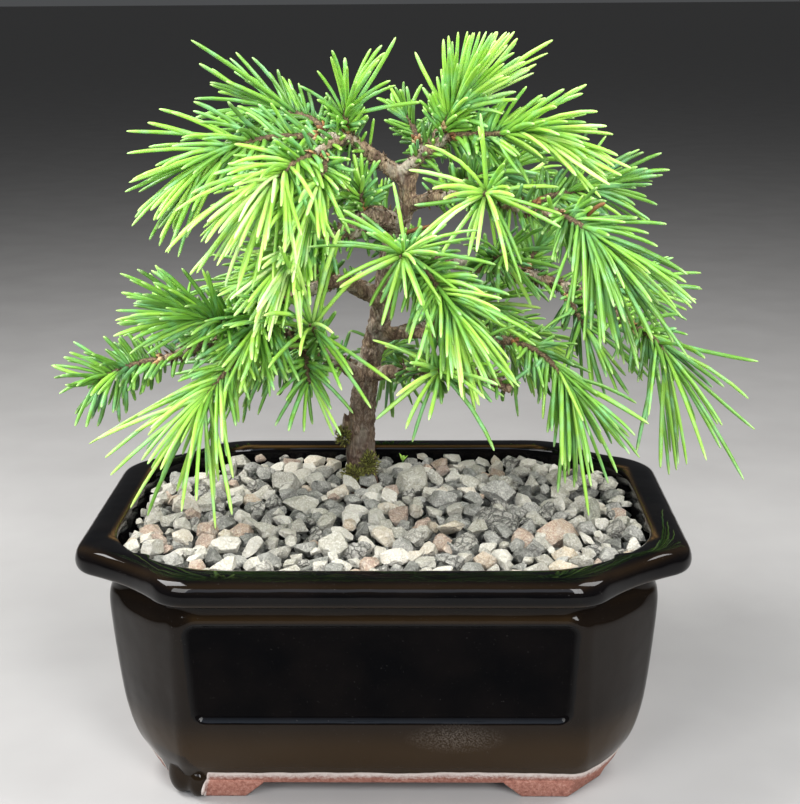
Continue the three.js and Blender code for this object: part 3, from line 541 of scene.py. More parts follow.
def sharpened(thing, degrees):
    """Smooth shading that keeps edges sharper than this."""
    pick(thing)
    bpy.ops.object.shade_smooth_by_angle(angle=math.radians(degrees))


def apply_modifier(thing, kind, **settings):
    pick(thing)
    modifier = thing.modifiers.new(kind.lower(), kind)
    for name, value in settings.items():
        setattr(modifier, name, value)
    bpy.ops.object.modifier_apply(modifier=modifier.name)


def remeshed(thing, voxel, rounds):
    """One even skin over parts that run into each other, in voxels of this many millimetres."""
    apply_modifier(thing, "REMESH", mode="VOXEL", voxel_size=voxel * MM, use_smooth_shade=True)
    apply_modifier(thing, "SMOOTH", factor=0.5, iterations=rounds)


def joined(things):
    pick(*things)
    bpy.ops.object.join()
    return things[0]


def closed_up(thing):
    """Merges doubles, fills open loops and turns every face outwards."""
    pick(thing)
    bpy.ops.object.mode_set(mode="EDIT")
    bpy.ops.mesh.select_all(action="SELECT")
    bpy.ops.mesh.remove_doubles(threshold=1e-6)
    bpy.ops.mesh.fill_holes(sides=0)
    bpy.ops.mesh.select_all(action="SELECT")
    bpy.ops.mesh.normals_make_consistent(inside=False)
    bpy.ops.object.mode_set(mode="OBJECT")


def ring_solid(name, rings):
    """A solid through rings of equally many points: a circle extruded from ring to ring."""
    bpy.ops.mesh.primitive_circle_add(vertices=len(rings[0]), radius=MM, fill_type="NGON")
    thing = bpy.context.object
    for _ in rings[1:]:
        bpy.ops.object.mode_set(mode="EDIT")
        bpy.ops.mesh.extrude_region_move(TRANSFORM_OT_translate={"value": (0, 0, MM)})
        bpy.ops.object.mode_set(mode="OBJECT")
    points = sorted(thing.data.vertices, key=lambda v: round(v.co.z / MM))
    for k, ring in enumerate(rings):
        level = points[k * len(ring) : (k + 1) * len(ring)]
        level.sort(key=lambda v: (math.atan2(v.co.y, v.co.x) + 0.01) % math.tau)
        for vertex, place in zip(level, ring):
            vertex.co = place
    thing.name = name
    closed_up(thing)
    return thing


def tube(name, path, radii, roundness=2):
    """A round tapered tube along points of the frame. Radii are in millimetres."""
    bpy.ops.curve.primitive_nurbs_path_add()
    thing = bpy.context.object
    curve = thing.data
    curve.splines.clear()
    spline = curve.splines.new("POLY")
    spline.points.add(len(path) - 1)
    for knot, point, radius in zip(spline.points, path, radii):
        knot.co = (*point, 1)
        knot.radius = radius
    curve.bevel_depth = MM
    curve.bevel_resolution = roundness
    curve.use_fill_caps = True
    bpy.ops.object.convert(target="MESH")
    thing.name = name
    closed_up(thing)
    return thing


def smooth_path(points, steps):
    """Evenly spaced plan points on a smooth curve through given ones."""
    knots = [np.array(p, float) for p in points]
    knots = [2 * knots[0] - knots[1], *knots, 2 * knots[-1] - knots[-2]]
    dense = []
    for before, start, end, after in zip(knots, knots[1:], knots[2:], knots[3:]):
        first = np.linalg.norm(start - before) ** 0.5
        middle = np.linalg.norm(end - start) ** 0.5
        last = np.linalg.norm(after - end) ** 0.5
        leave = (start - before) / first - (end - before) / (first + middle) + (end - start) / middle
        arrive = (end - start) / middle - (after - start) / (middle + last) + (after - end) / last
        leave, arrive = leave * middle, arrive * middle
        for t in np.arange(0, 1, 1 / 24):
            dense.append(
                start
                + leave * t
                + (3 * (end - start) - 2 * leave - arrive) * t**2
                + (2 * (start - end) + leave + arrive) * t**3
            )
    dense = np.array([*dense, knots[-2]])
    travelled = np.concatenate([[0], np.cumsum(np.linalg.norm(np.diff(dense, axis=0), axis=1))])
    wanted = np.linspace(0, travelled[-1], steps + 1)
    return np.stack([np.interp(wanted, travelled, dense[:, axis]) for axis in range(3)], 1)


class Shape:
    """A modelled shape's points and faces, kept for making copies. The object goes."""

    def __init__(self, thing):
        self.points = np.array([v.co for v in thing.data.vertices])
        self.faces = [tuple(p.vertices) for p in thing.data.polygons]
        bpy.data.objects.remove(thing)


def strewn(name, copies, **attributes):
    """One mesh of many placed copies: pairs of shape and placed points, with a value each."""
    points, faces, counts = [], [], []
    first = 0
    for shape, placed in copies:
        points.append(placed)
        faces += [tuple(k + first for k in face) for face in shape.faces]
        counts.append(len(placed))
        first += len(placed)
    mesh = bpy.data.meshes.new(name)
    mesh.from_pydata(np.concatenate(points).tolist(), [], faces)
    mesh.polygons.foreach_set("use_smooth", [True] * len(faces))
    for label, values in attributes.items():
        layer = mesh.attributes.new(label, "FLOAT", "POINT")
        spread = [np.broadcast_to(value, count) for value, count in zip(values, counts)]
        layer.data.foreach_set("value", np.concatenate(spread).astype(np.float32))
    thing = bpy.data.objects.new(name, mesh)
    bpy.context.scene.collection.objects.link(thing)
    return thing


def dress(thing, name, slot, materials, *nodes):
    """Names a finished piece, gives it its materials, hangs it on the root body and hides the frame's
    nodes that it stands for.
    """
    thing.name = name
    thing.data.name = name
    for material in materials:
        thing.data.materials.append(material)
    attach(thing, "root")
    if nodes:
        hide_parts(*nodes)


# Camera, floor and light


# Each soft box: its place, the place it aims at, its size, watts and colour
LIGHTS = [
    ("key_left", (-400, -590, 480), (0, 0, 90), (340, 340), 4.2, "#FFFFFF"),
    ("fill_right", (300, -640, 430), (30, 0, 60), (240, 380), 5.8, "#FFFFFF"),
    ("top_left", (-360, -20, 560), (0, 0, 110), (300, 300), 6.4, "#FFFFFF"),
    ("top_right", (380, -60, 560), (0, 0, 100), (240, 300), 3.6, "#FFFFFF"),
    ("front_window", (0, -620, 400), (0, -50, 40), (560, 240), 1.2, "#C9DCF5"),
]
SKY_COLOUR = "#E9ECF0"
SKY_STRENGTH = 0.09


def set_camera():
    bpy.ops.object.camera_add(location=plan(*CAMERA_PLACE))
    camera = bpy.context.object
    turn = Matrix.Rotation(math.radians(CAMERA_TURN), 4, "Z")
    tilt = Matrix.Rotation(math.radians(90 - CAMERA_PITCH), 4, "X")
    roll = Matrix.Rotation(math.radians(CAMERA_ROLL), 4, "Z")
    camera.rotation_euler = (turn @ tilt @ roll).to_euler()
    camera.data.sensor_width = SENSOR
    camera.data.lens = CAMERA_LENS
    camera.data.clip_start = 0.01
    bpy.context.scene.camera = camera


def soft_light(name, place, aim, size, power, colour):
    """A rectangular soft box at one place of the plan, aimed at another."""
    bpy.ops.object.light_add(type="AREA", location=plan(*place))
    lamp = bpy.context.object
    lamp.name = name
    lamp.data.shape = "RECTANGLE"
    lamp.data.size, lamp.data.size_y = size[0] * MM, size[1] * MM
    lamp.data.energy = power
    lamp.data.color = linear(colour)[:3]
    lamp.rotation_euler = (plan(*place) - plan(*aim)).to_track_quat("Z", "Y").to_euler()


def set_stage():
    """A floor, soft daylight and the soft boxes."""
    bpy.ops.mesh.primitive_plane_add(size=1000)
    floor = bpy.context.object
    floor.name = "studio_floor"
    floor.data.materials.append(FLOOR)
    world = bpy.data.worlds.new("studio")
    world.use_nodes = True
    world.node_tree.nodes["Background"].inputs["Color"].default_value = linear(SKY_COLOUR)
    world.node_tree.nodes["Background"].inputs["Strength"].default_value = SKY_STRENGTH
    bpy.context.scene.world = world
    for row in LIGHTS:
        soft_light(*row)
    bpy.context.scene.view_settings.view_transform = "Standard"


set_camera()
set_stage()

# Pot


def bent(start, corner, end, steps):
    """Points of a quadratic curve, without its last."""
    return [
        (1 - t) ** 2 * start + 2 * (1 - t) * t * corner + t**2 * end
        for t in np.linspace(0, 1, steps, endpoint=False)
    ]


# How a cut corner is shaped: how round its ends are, how far its middle sinks in, and how much
# closer to the middle it starts for each millimetre of inset
RIM_CORNER = np.array([5, CORNER_SAG, 0.18])
MOUTH_CORNER = np.array([13, CORNER_SAG, 0.18])
BODY_CORNER = np.array([3, -0.6, -0.08])


def quarter_outline(inset, corner):
    """From the middle of the front to the middle of the right side, round one cut corner."""
    corner_round, sag, flat_share = corner
    half_x = RIM_HALF_X - inset
    half_y = RIM_HALF_Y - inset
    start = np.array([FLAT_HALF_X - flat_share * inset, -half_y])
    end = np.array([half_x, -(FLAT_HALF_Y - FLAT_SHARE_Y * inset)])
    along = unit(end - start)
    inward = np.array([-along[1], along[0]])
    reach = min(corner_round, 0.46 * math.dist(start, end))
    front_end = start - (reach, 0)
    side_start = end + (0, reach)
    cut_start = start + along * reach
    cut_end = end - along * reach
    sunk = (start + end) / 2 + inward * sag * 2
    front_middle = np.array([0.0, -half_y])
    side_middle = np.array([half_x, 0.0])
    return [
        *[mix(front_middle, front_end, t) for t in np.linspace(0, 0.86, 20, endpoint=False)],
        *[mix(front_middle, front_end, t) for t in np.linspace(0.86, 1, 10, endpoint=False)],
        *bent(front_end, start, cut_start, 14),
        *bent(cut_start, sunk, cut_end, 26),
        *bent(cut_end, end, side_start, 14),
        *[mix(side_start, side_middle, t) for t in np.linspace(0, 0.3, 12, endpoint=False)],
        *[mix(side_start, side_middle, t) for t in np.linspace(0.3, 1, 14)],
    ]


def outline(inset, corner=RIM_CORNER):
    """The whole closed outline, its corners eased."""
    quarter = np.array(quarter_outline(inset, corner))
    back = quarter[::-1]
    whole = np.concatenate(
        [quarter[:-1], (back * (1, -1))[:-1], (quarter * (-1, -1))[:-1], (back * (-1, 1))[:-1]]
    )
    for _ in range(4):
        whole = (np.roll(whole, 1, 0) + 2 * whole + np.roll(whole, -1, 0)) / 4
    return whole


# Inset and height up the outside, over the rim and down to the floor inside
OUTER_WALL = [
    (17.4, 4.5), (15.6, 8), (13.2, 12), (11.4, 18), (10, 26), (8.2, 46), (8, 53), (8.9, 55.5),
]
RIM = [
    (8.4, 59.2), (1.0, 59.8), (0, 61.2), (0, 63.4), (0.9, 65.8), (3.4, POT_HEIGHT), (8.8, POT_HEIGHT),
    (9.6, 66),
]
INNER_WALL = [(10.2, 59), (15.5, 52), (17.5, 24), (24, FLOOR_TOP)]

# Where the glaze runs thin over an edge: inset, height, how far it reaches, and how thin.
# The panels, where it pools, count as minus one
THIN_EDGES = [
    (9.2, 66.9, 0.55, 1.0), (0.7, 65.8, 1.2, 0.1), (0.4, 60.3, 0.7, 0.2), (8, 54, 1.2, 0.2),
]
BODY_THINNESS = 0.05
# The base's brown is partly thin glaze and partly a painted reflection of brown wood
BASE_THINNESS_AND_REFLECTION = 0.28
BODY_TOP_Z = 57
BODY_INSET = 19
BASE_TOP_Z = 27
BASE_FADE = 12
DRIP_THINNESS = 0.12


def wall_rows():
    """Inset and height of each row of the wall, its corners rounded, close together outside."""
    profile = np.array(OUTER_WALL + RIM + INNER_WALL[:1], float)
    for _ in range(2):
        cut = [profile[0]]
        for a, b in zip(profile, profile[1:]):
            cut += [mix(a, b, 0.25), mix(a, b, 0.75)]
        profile = np.array([*cut, profile[-1]])
    steps = np.linalg.norm(np.diff(profile, axis=0), axis=1)
    travelled = np.concatenate([[0], np.cumsum(steps)])
    wanted = np.linspace(0, travelled[-1], WALL_ROWS)
    rows = np.stack([np.interp(wanted, travelled, profile[:, k]) for k in (0, 1)], 1)
    return [*rows, *np.array(INNER_WALL[1:], float)]


def beyond_panel(across, height, half_across):
    """How far outside a panel's rounded border a point of the wall lies, or inside if negative."""
    half_here = half_across + PANEL_TAPER * (height - PANEL_MIDDLE_Z)
    beyond_x = abs(across) - half_here + PANEL_ROUND
    beyond_z = abs(height - PANEL_MIDDLE_Z) - PANEL_HALF_Z + PANEL_ROUND
    outside = math.hypot(max(beyond_x, 0), max(beyond_z, 0)) + min(max(beyond_x, beyond_z), 0)
    return outside - PANEL_ROUND


def panel_depth(beyond):
    return PANEL_DEPTH * smooth_step((PANEL_FILLET / 2 - beyond) / PANEL_FILLET)


def make_foot(sign_x, sign_y):
    """A corner foot, following the base's cut corner and sloping up at its two ends."""
    low = [(36, -43.6), (48, -43.6), (57.6, -32.6), (57.6, -25), (50, -25), (44, -35), (36, -35)]
    high = [(31, -44.6), (49, -44.6), (60.6, -31), (60.6, -20), (50, -20), (42.5, -34), (31, -34)]
    rings = []
    for corners, z in ((low, 0), (high, FOOT_HEIGHT), (high, FOOT_HEIGHT + 1.2)):
        rings.append([plan(x * sign_x, y * sign_y, z) for x, y in corners])
    foot = ring_solid("foot", rings)
    apply_modifier(foot, "BEVEL", width=1.5 * MM, segments=4, limit_method="ANGLE")
    return foot


def thinness_and_reflection(x, y, z):
    """How thin the glaze lies: it pools in the panels, and draws back from edges and the base. Its brown
    low on the wall is partly a painted reflection of brown wood.
    """
    if math.hypot(x - DRIP_PLACE[0], y - DRIP_PLACE[1]) < DRIP_RADIUS + 1 and z < DRIP_TOP_Z:
        return DRIP_THINNESS
    inset = wall_room(x, y)
    edges = 0
    for edge_inset, edge_z, spread, strength in THIN_EDGES:
        apart = math.dist((inset, z), (edge_inset, edge_z))
        edges += strength * math.exp(-((apart / spread) ** 2))
    if z > BODY_TOP_Z or inset > BODY_INSET:
        return min(edges, 1)
    if RIM_HALF_Y - abs(y) < RIM_HALF_X - abs(x):
        beyond = beyond_panel(x, z, PANEL_HALF_X)
    else:
        beyond = beyond_panel(y, z, PANEL_HALF_Y)
    # Browner towards the base, partly as a painted reflection of brown wood
    body = mix(BODY_THINNESS, BASE_THINNESS_AND_REFLECTION, smooth_step((BASE_TOP_Z - z) / BASE_FADE))
    return min(edges + mix(-1, body, smooth_step(beyond / POOL_EDGE + 0.5)), 1)


def make_drip_lobe(x, y, z, wide, deep, tall):
    bpy.ops.mesh.primitive_uv_sphere_add(segments=32, ring_count=20, location=plan(x, y, z))
    lobe = bpy.context.object
    lobe.scale = [size * MM for size in (wide, deep, tall)]
    lobe.rotation_euler = (0, 0, math.radians(CUT_TURN))
    bpy.ops.object.transform_apply()
    return lobe


def make_pot():
    """The pot: a grid rolled up to the wall's outline, with floor, holes, drip and feet."""
    rows = wall_rows()
    across = len(outline(0))
    bpy.ops.mesh.primitive_grid_add(x_subdivisions=across, y_subdivisions=len(rows) - 1, size=2)
    pot = bpy.context.object
    rings = []
    past_fascia = False
    for inset, z in rows:
        past_fascia = past_fascia or z > FASCIA_MIDDLE_Z
        if past_fascia:
            corner = mix(RIM_CORNER, MOUTH_CORNER, min(inset / RIM_TOP_INSET, 1))
        else:
            corner = mix(RIM_CORNER, BODY_CORNER, smooth_step((FASCIA_LOW_Z - z) / 8))
        rings.append(outline(inset, corner))
    for vertex in pot.data.vertices:
        column = round((vertex.co.x + 1) / 2 * across) % across
        row = round((vertex.co.y + 1) / 2 * (len(rows) - 1))
        x, y = rings[row][column]
        inset, z = rows[row]
        if row < WALL_ROWS and z < PANELLED_BELOW_Z:
            if abs(y) > RIM_HALF_Y - inset - 2:
                y -= math.copysign(panel_depth(beyond_panel(x, z, PANEL_HALF_X)), y)
            elif abs(x) > RIM_HALF_X - inset - 2:
                x -= math.copysign(panel_depth(beyond_panel(y, z, PANEL_HALF_Y)), x)
        vertex.co = plan(x, y, z)
    closed_up(pot)
    for sign in (-1, 1):
        bpy.ops.mesh.primitive_cylinder_add(
            vertices=32,
            radius=DRAIN_HOLE_RADIUS * MM,
            depth=2 * FLOOR_TOP * MM,
            location=plan(DRAIN_HOLE_X * sign, 0, FLOOR_TOP - 3),
        )
        drill = bpy.context.object
        apply_modifier(pot, "BOOLEAN", operation="DIFFERENCE", object=drill, solver="EXACT")
        bpy.data.objects.remove(drill)
    drip = joined([make_drip_lobe(*lobe) for lobe in DRIP_LOBES])
    remeshed(drip, DRIP_VOXEL, DRIP_SMOOTHING)
    feet = [make_foot(x, y) for x in (-1, 1) for y in (-1, 1)]
    pot = joined([pot, drip, *feet])
    thin = pot.data.attributes.new("thin_glaze_and_reflection", "FLOAT", "POINT")
    for k, vertex in enumerate(pot.data.vertices):
        x, y, z = (vertex.co.x - POT_X) / MM, (vertex.co.y - POT_Y) / MM, vertex.co.z / MM
        thin.data[k].value = thinness_and_reflection(x, y, z)
    sharpened(pot, 50)
    dress(pot, "pot_glazed", "glaze", [GLAZE], "pot")


def wall_room(x, y):
    """How far inside the rim's outline a point of the plan lies."""
    start = np.array([FLAT_HALF_X, RIM_HALF_Y])
    along = np.array([RIM_HALF_X - FLAT_HALF_X, FLAT_HALF_Y - RIM_HALF_Y])
    outward = np.array([-along[1], along[0]]) / np.linalg.norm(along)
    corner = float((start - (abs(x), abs(y))) @ outward)
    return min(RIM_HALF_X - abs(x), RIM_HALF_Y - abs(y), corner - CORNER_SAG)


make_pot()

# Gravel

# Stones that stand out: place on the plan, radius, height of the middle, and tone
NAMED_STONES = [
    (7.2, 22.4, 5.8, 64.6, 0.6), (29.9, -10.2, 7.0, 63.4, 0.5), (46.3, -18.1, 5.6, 63.4, 0.86),
    (56.7, -4.9, 4.6, 64.2, 0.98), (3.8, -6.1, 4.0, 64.2, 0.92), (-24.2, 4, 4.4, 64, 0.62),
    (-41.9, -27.7, 4.4, 63.8, 0.72), (-12, -30, 4.4, 63.6, 0.66), (15.2, 8.3, 4.6, 64.4, 0.4),
    (-56.6, 4.1, 4.0, 63.8, 0.8), (32, 14, 4.4, 64.4, 0.45), (-30, 24, 4.6, 64.2, 0.55),
]
STONE_TONES = [
    0.1, 0.22, 0.3, 0.38, 0.44, 0.5, 0.54, 0.58, 0.62, 0.66, 0.7, 0.74, 0.78, 0.78, 0.84, 0.9,
]


def make_stone(number):
    """A broken stone one unit in mean radius: a ball cut by flat planes on all sides."""
    draw = random.Random(900 + number)
    bpy.ops.mesh.primitive_ico_sphere_add(subdivisions=2, radius=1)
    stone = bpy.context.object
    bpy.ops.object.mode_set(mode="EDIT")
    for _ in range(STONE_CUTS):
        facing = Vector(any_vector(draw)).normalized()
        bpy.ops.mesh.select_all(action="SELECT")
        bpy.ops.mesh.bisect(
            plane_co=facing * draw.uniform(0.45, 0.75),
            plane_no=facing,
            use_fill=True,
            clear_outer=True,
        )
    bpy.ops.mesh.select_all(action="SELECT")
    bpy.ops.mesh.dissolve_limited(angle_limit=math.radians(14))
    bpy.ops.transform.resize(value=(draw.uniform(1.1, 1.6), 1, draw.uniform(0.65, 0.95)))
    bpy.ops.object.mode_set(mode="OBJECT")
    shape = Shape(stone)
    shape.points /= np.linalg.norm(shape.points, axis=1).mean()
    return shape


def mound(x, y):
    """How far the gravel rises towards its middle."""
    return GRAVEL_MOUND * math.cos(x / RIM_HALF_X * 1.3) * math.cos(y / RIM_HALF_Y * 1.3)


def clear_of_trunk(x, y, radius):
    return math.dist((x, y), TRUNK_PLACE) > TRUNK_ROOM + radius * 0.6


def scattered(draw, largest, smallest, tries, closeness, taken):
    """Stones that don't crowd each other, big ones first: place on the plan and radius."""
    found = list(taken)
    cells = {}
    size = 2.2 * max([largest, *[r for _, _, r in found]])

    def near(x, y):
        column, row = int(x // size), int(y // size)
        around = [(column + i, row + j) for i in (-1, 0, 1) for j in (-1, 0, 1)]
        return [stone for cell in around for stone in cells.get(cell, [])]

    for x, y, radius in found:
        cells.setdefault((int(x // size), int(y // size)), []).append((x, y, radius))
    for k in range(tries):
        radius = mix(largest, smallest, (k / tries) ** 0.38)
        x = draw.uniform(-RIM_HALF_X, RIM_HALF_X)
        y = draw.uniform(-RIM_HALF_Y, RIM_HALF_Y)
        if wall_room(x, y) < WALL_INSET + radius * 0.95 or not clear_of_trunk(x, y, radius):
            continue
        if any(math.hypot(x - a, y - b) < (radius + r) * closeness for a, b, r in near(x, y)):
            continue
        found.append((x, y, radius))
        cells.setdefault((int(x // size), int(y // size)), []).append((x, y, radius))
    return found[len(taken) :]


def placed_stone(draw, shape, x, y, z, radius):
    """A stone's points, turned and tipped at random."""
    turn = Matrix.Rotation(draw.uniform(0, math.tau), 3, "Z")
    tip = Matrix.Rotation(draw.gauss(0, 0.55), 3, Vector((draw.gauss(0, 1), draw.gauss(0, 1), 0.01)))
    turned = shape.points @ np.array(tip @ turn).T
    return turned * radius * MM + np.array(plan(x, y, z))


def make_gravel():
    """Single stones over a bed of grit: the named ones first, the others scattered round them."""
    draw = random.Random(17)
    kinds = [make_stone(number) for number in range(STONE_KINDS)]
    named = [(x, y, radius) for x, y, radius, _, _ in NAMED_STONES]
    layers = [scattered(draw, *row[:4], taken) for row, taken in zip(STONE_LAYERS, (named, []))]
    copies, tones = [], []
    for x, y, radius, z, tone in NAMED_STONES:
        shape = draw.choice(kinds)
        copies.append((shape, placed_stone(draw, shape, x, y, z, radius)))
        tones.append(tone)
    for stones, (*_, height, rough, paleness_with_painted_shade) in zip(layers, STONE_LAYERS):
        for x, y, radius in stones:
            shape = draw.choice(kinds)
            z = height + mound(x, y) + draw.uniform(-rough, rough) - radius * 0.15
            copies.append((shape, placed_stone(draw, shape, x, y, z, radius)))
            # The lower layer's stones are darkened as painted shade
            tones.append(paleness_with_painted_shade * (draw.choice(STONE_TONES) + draw.uniform(-0.03, 0.03)))
    gravel = strewn("stones", copies, stone_tone=tones)
    sharpened(gravel, 44)
    dress(gravel, "gravel_stones", "gravel", [GRANITE], "gravel")
    rings = []
    for inset, z in ((11.4, 58), (11.2, GRAVEL_BED_Z)):
        rings.append([plan(x, y, z) for x, y in outline(inset)[::4]])
    dress(ring_solid("grit", rings), "gravel_grit", "gravel", [GRIT])


make_gravel()

# Wood

# Each limb: radii along it, and its points
LIMBS = [
    ((4.6, 5.1, 4.8, 4.1, 3.7, 3.4, 3.1, 2.8, 2.8, 2.2), [
        (-8, 30, 32), (-8, 30, 63), (-8, 30, 75), (-7, 29, 88), (-5, 28, 100), (-2, 26, 112),
        (-1, 25, 118), (1, 23, 132), (4, 21, 140), (6, 20, 147), (6, 18, 153), (4, 18, 157)]),
    ((2.4, 2, 1.9, 1.5), [
        (5, 18, 154), (1, 17, 157), (-4, 15, 161), (-8, 13, 164), (-10, 11, 166)]),
    ((1.6, 1.2), [
        (-9, 12, 165), (-17, 9, 166)]),
    ((1.5, 1.1), [
        (-9, 12, 165), (-14, 7, 164), (-18, 3, 162)]),
    ((2.2, 1.6, 1.4), [
        (5, 18, 155), (11, 13, 161), (15, 11, 164), (18, 10, 166)]),
    ((2, 1.7, 1.6, 1.3), [
        (6, 20, 146), (14, 12, 149), (23, 4, 151), (27, 0, 151), (35, -6, 149), (45, -12, 148)]),
    ((2.6, 2.4, 2.5, 1.5), [
        (4, 21, 140), (0, 16, 143), (-5, 11, 144), (-8, 7, 141), (-12, 4, 141), (-15, 1, 140)]),
    ((2.2, 1.8, 1.6, 1.2), [
        (-1, 25, 118), (-7, 20, 122), (-13, 14, 126), (-19, 9, 125), (-27, 6, 122), (-34, 4, 119),
        (-43, 1, 113), (-50, -1, 111), (-59, -3, 108)]),
    ((2.4, 1.9, 1.6, 1.4), [
        (-6, 28, 95), (-9, 24, 97), (-13, 18, 102), (-17, 13, 106), (-22, 8, 109), (-27, 3, 114)]),
    ((2.1, 1.9, 1.7, 1.6), [
        (-4, 27, 96), (4, 12, 101), (10, 2, 104), (14, -8, 106), (25, -10, 105), (29, -11, 104),
        (34, -12, 102)]),
    ((2, 1.6, 1.4, 1.3), [
        (-2, 27, 108), (7, 24, 109), (20, 18, 109), (26, 12, 110), (35, 4, 111)]),
    ((2.4, 2, 1.8, 1.4), [
        (3, 22, 135), (10, 28, 131), (18, 32, 128), (28, 36, 126), (40, 42, 123), (51, 44, 119),
        (62, 36, 116), (70, 24, 111)]),
    ((1.7, 1.3), [
        (3, 21, 136), (5, 5, 136), (6, -6, 137)]),
    ((1.8, 1.3), [
        (5, 19, 152), (10, 30, 160), (14, 44, 165)]),
    ((1.9, 1.3), [
        (4, 21, 141), (-8, 34, 146), (-20, 46, 149)]),
    ((2, 1.4), [
        (5, 20, 145), (18, 38, 148), (29, 52, 149)]),
    ((2.1, 1.4), [
        (-1, 25, 120), (-14, 42, 121), (-28, 54, 119)]),
    ((2, 1.4), [
        (1, 24, 129), (4, 44, 129), (6, 58, 127)]),
    ((2, 1.4), [
        (-4, 27, 106), (12, 44, 107), (28, 56, 104)]),
    ((2.1, 1.4), [
        (-6, 29, 96), (-18, 42, 98), (-32, 52, 96)]),
    ((2, 1.4), [
        (-6, 29, 92), (-4, 48, 95), (-2, 60, 95)]),
]
# The dead stubs: low on the trunk's left, and at its top
STUBS = [
    ((1.4, 1.0, 0.45), [(-9, 30, 74), (-12.5, 29, 79), (-12.5, 28.5, 84)]),
    ((1.5, 1.3, 0.8), [(6, 18, 150), (8.6, 17.4, 156), (8.4, 17, 160)]),
]


def make_wood():
    """Trunk, branches and dead stubs under one skin, with flaking plates, lumps and grain."""
    tubes, places = [], []
    for radii, points in LIMBS + STUBS:
        steps = max(6, round(length_of(points) / 1.5))
        path = smooth_path(points, steps)
        along = np.interp(np.linspace(0, 1, steps + 1), np.linspace(0, 1, len(radii)), radii)
        tubes.append(tube("limb", [plan(*p) for p in path], along, 6))
        places += [(plan(*p), radius) for p, radius in zip(path, along)]
    wood = joined(tubes)
    remeshed(wood, BARK_VOXEL, BARK_SMOOTHING)
    tree = kdtree.KDTree(len(places))
    for k, (place, _) in enumerate(places):
        tree.insert(place, k)
    tree.balance()
    age = wood.data.attributes.new("wood_age", "FLOAT", "POINT")
    moved = []
    for k, vertex in enumerate(wood.data.vertices):
        radius = places[tree.find(vertex.co)[1]][1]
        age.data[k].value = smooth_step((radius - 1.2) / 3)
        place = vertex.co / MM
        distances, _ = noise.voronoi(Vector(np.array(place) / PLATE_SIZE))
        plate = smooth_step((distances[1] - distances[0]) / 0.35) - 0.6
        lump = noise.fractal(place / LUMP_SIZE, 0.8, 2.0, 3)
        grain = noise.noise(place / GRAIN_SIZE)
        depth = PLATE_RELIEF * plate + LUMP_RELIEF * lump + GRAIN_RELIEF * grain
        depth *= mix(0.6, 1.15, age.data[k].value)
        moved.append(vertex.co + vertex.normal * depth * MM)
    for vertex, place in zip(wood.data.vertices, moved):
        vertex.co = place
    dress(wood, "wood_bark", "bark", [BARK], "wood")


make_wood()

# Foliage

# Length share and width share of each ring of a needle
NEEDLE_RINGS = [
    (0, 0.6), (0.06, 0.85), (0.25, 1), (0.5, 1), (0.78, 0.96), (0.93, 0.78), (0.985, 0.46), (1, 0.12),
]
SCALE_RINGS = [(0, 0.5), (0.3, 1), (0.7, 0.7), (1, 0.1)]


def make_blade(rings, flatness, sides):
    """A needle or scale one unit long and one unit in radius, extruded ring by ring."""
    bpy.ops.mesh.primitive_circle_add(vertices=sides, radius=rings[0][1], fill_type="NGON")
    thing = bpy.context.object
    bpy.ops.object.mode_set(mode="EDIT")
    for (place, width), (next_place, next_width) in zip(rings, rings[1:]):
        rise = next_place - place
        share = next_width / width
        bpy.ops.mesh.extrude_region_move(TRANSFORM_OT_translate={"value": (0, 0, rise)})
        bpy.ops.transform.resize(value=(share, share, 1))
    bpy.ops.mesh.select_all(action="SELECT")
    bpy.ops.transform.resize(value=(1, flatness, 1), center_override=(0, 0, 0))
    bpy.ops.object.mode_set(mode="OBJECT")
    closed_up(thing)
    return Shape(thing)


NEEDLE_SHAPE = make_blade(NEEDLE_RINGS, 0.8, 6)
SCALE_SHAPE = make_blade(SCALE_RINGS, 0.35, 5)


def blade(shape, root, direction, side, size, width, bow, tone):
    """A placed blade and its tone. Its size, width and bow, off its chord, are in millimetres."""
    face = np.cross(direction, side)
    along = shape.points[:, 2:3]
    spread = shape.points[:, :1] * side * width + shape.points[:, 1:2] * face * width
    bend = bow * (along - along**2) * 4
    return shape, np.array(plan(*root)) + (along * direction * size + spread + bend) * MM, tone


def any_side(direction, draw):
    """A direction square to this one, turned at random."""
    return unit(np.cross(direction, any_vector(draw)))


def wound(axis, turn):
    """The direction square to a twig's axis, turned round it by this angle."""
    level = unit(np.cross(axis, ZERO_TURN))
    return level * math.cos(turn) + np.cross(axis, level) * math.sin(turn)


CAD_LOW = np.array(CAD_BOX[0]) / MM - (POT_X / MM, POT_Y / MM, 0)
CAD_HIGH = np.array(CAD_BOX[1]) / MM - (POT_X / MM, POT_Y / MM, 0)


def length_inside(root, direction, length):
    """The length, cut back where the tip would leave the frame's box or touch the gravel."""
    while length > SHORTEST_NEEDLE:
        tip = root + direction * length
        high_enough = tip[2] > LOWEST_NEEDLE_Z
        if np.all(tip > CAD_LOW + BOX_ROOM) and np.all(tip < CAD_HIGH - BOX_ROOM) and high_enough:
            break
        length -= 0.5
    return length


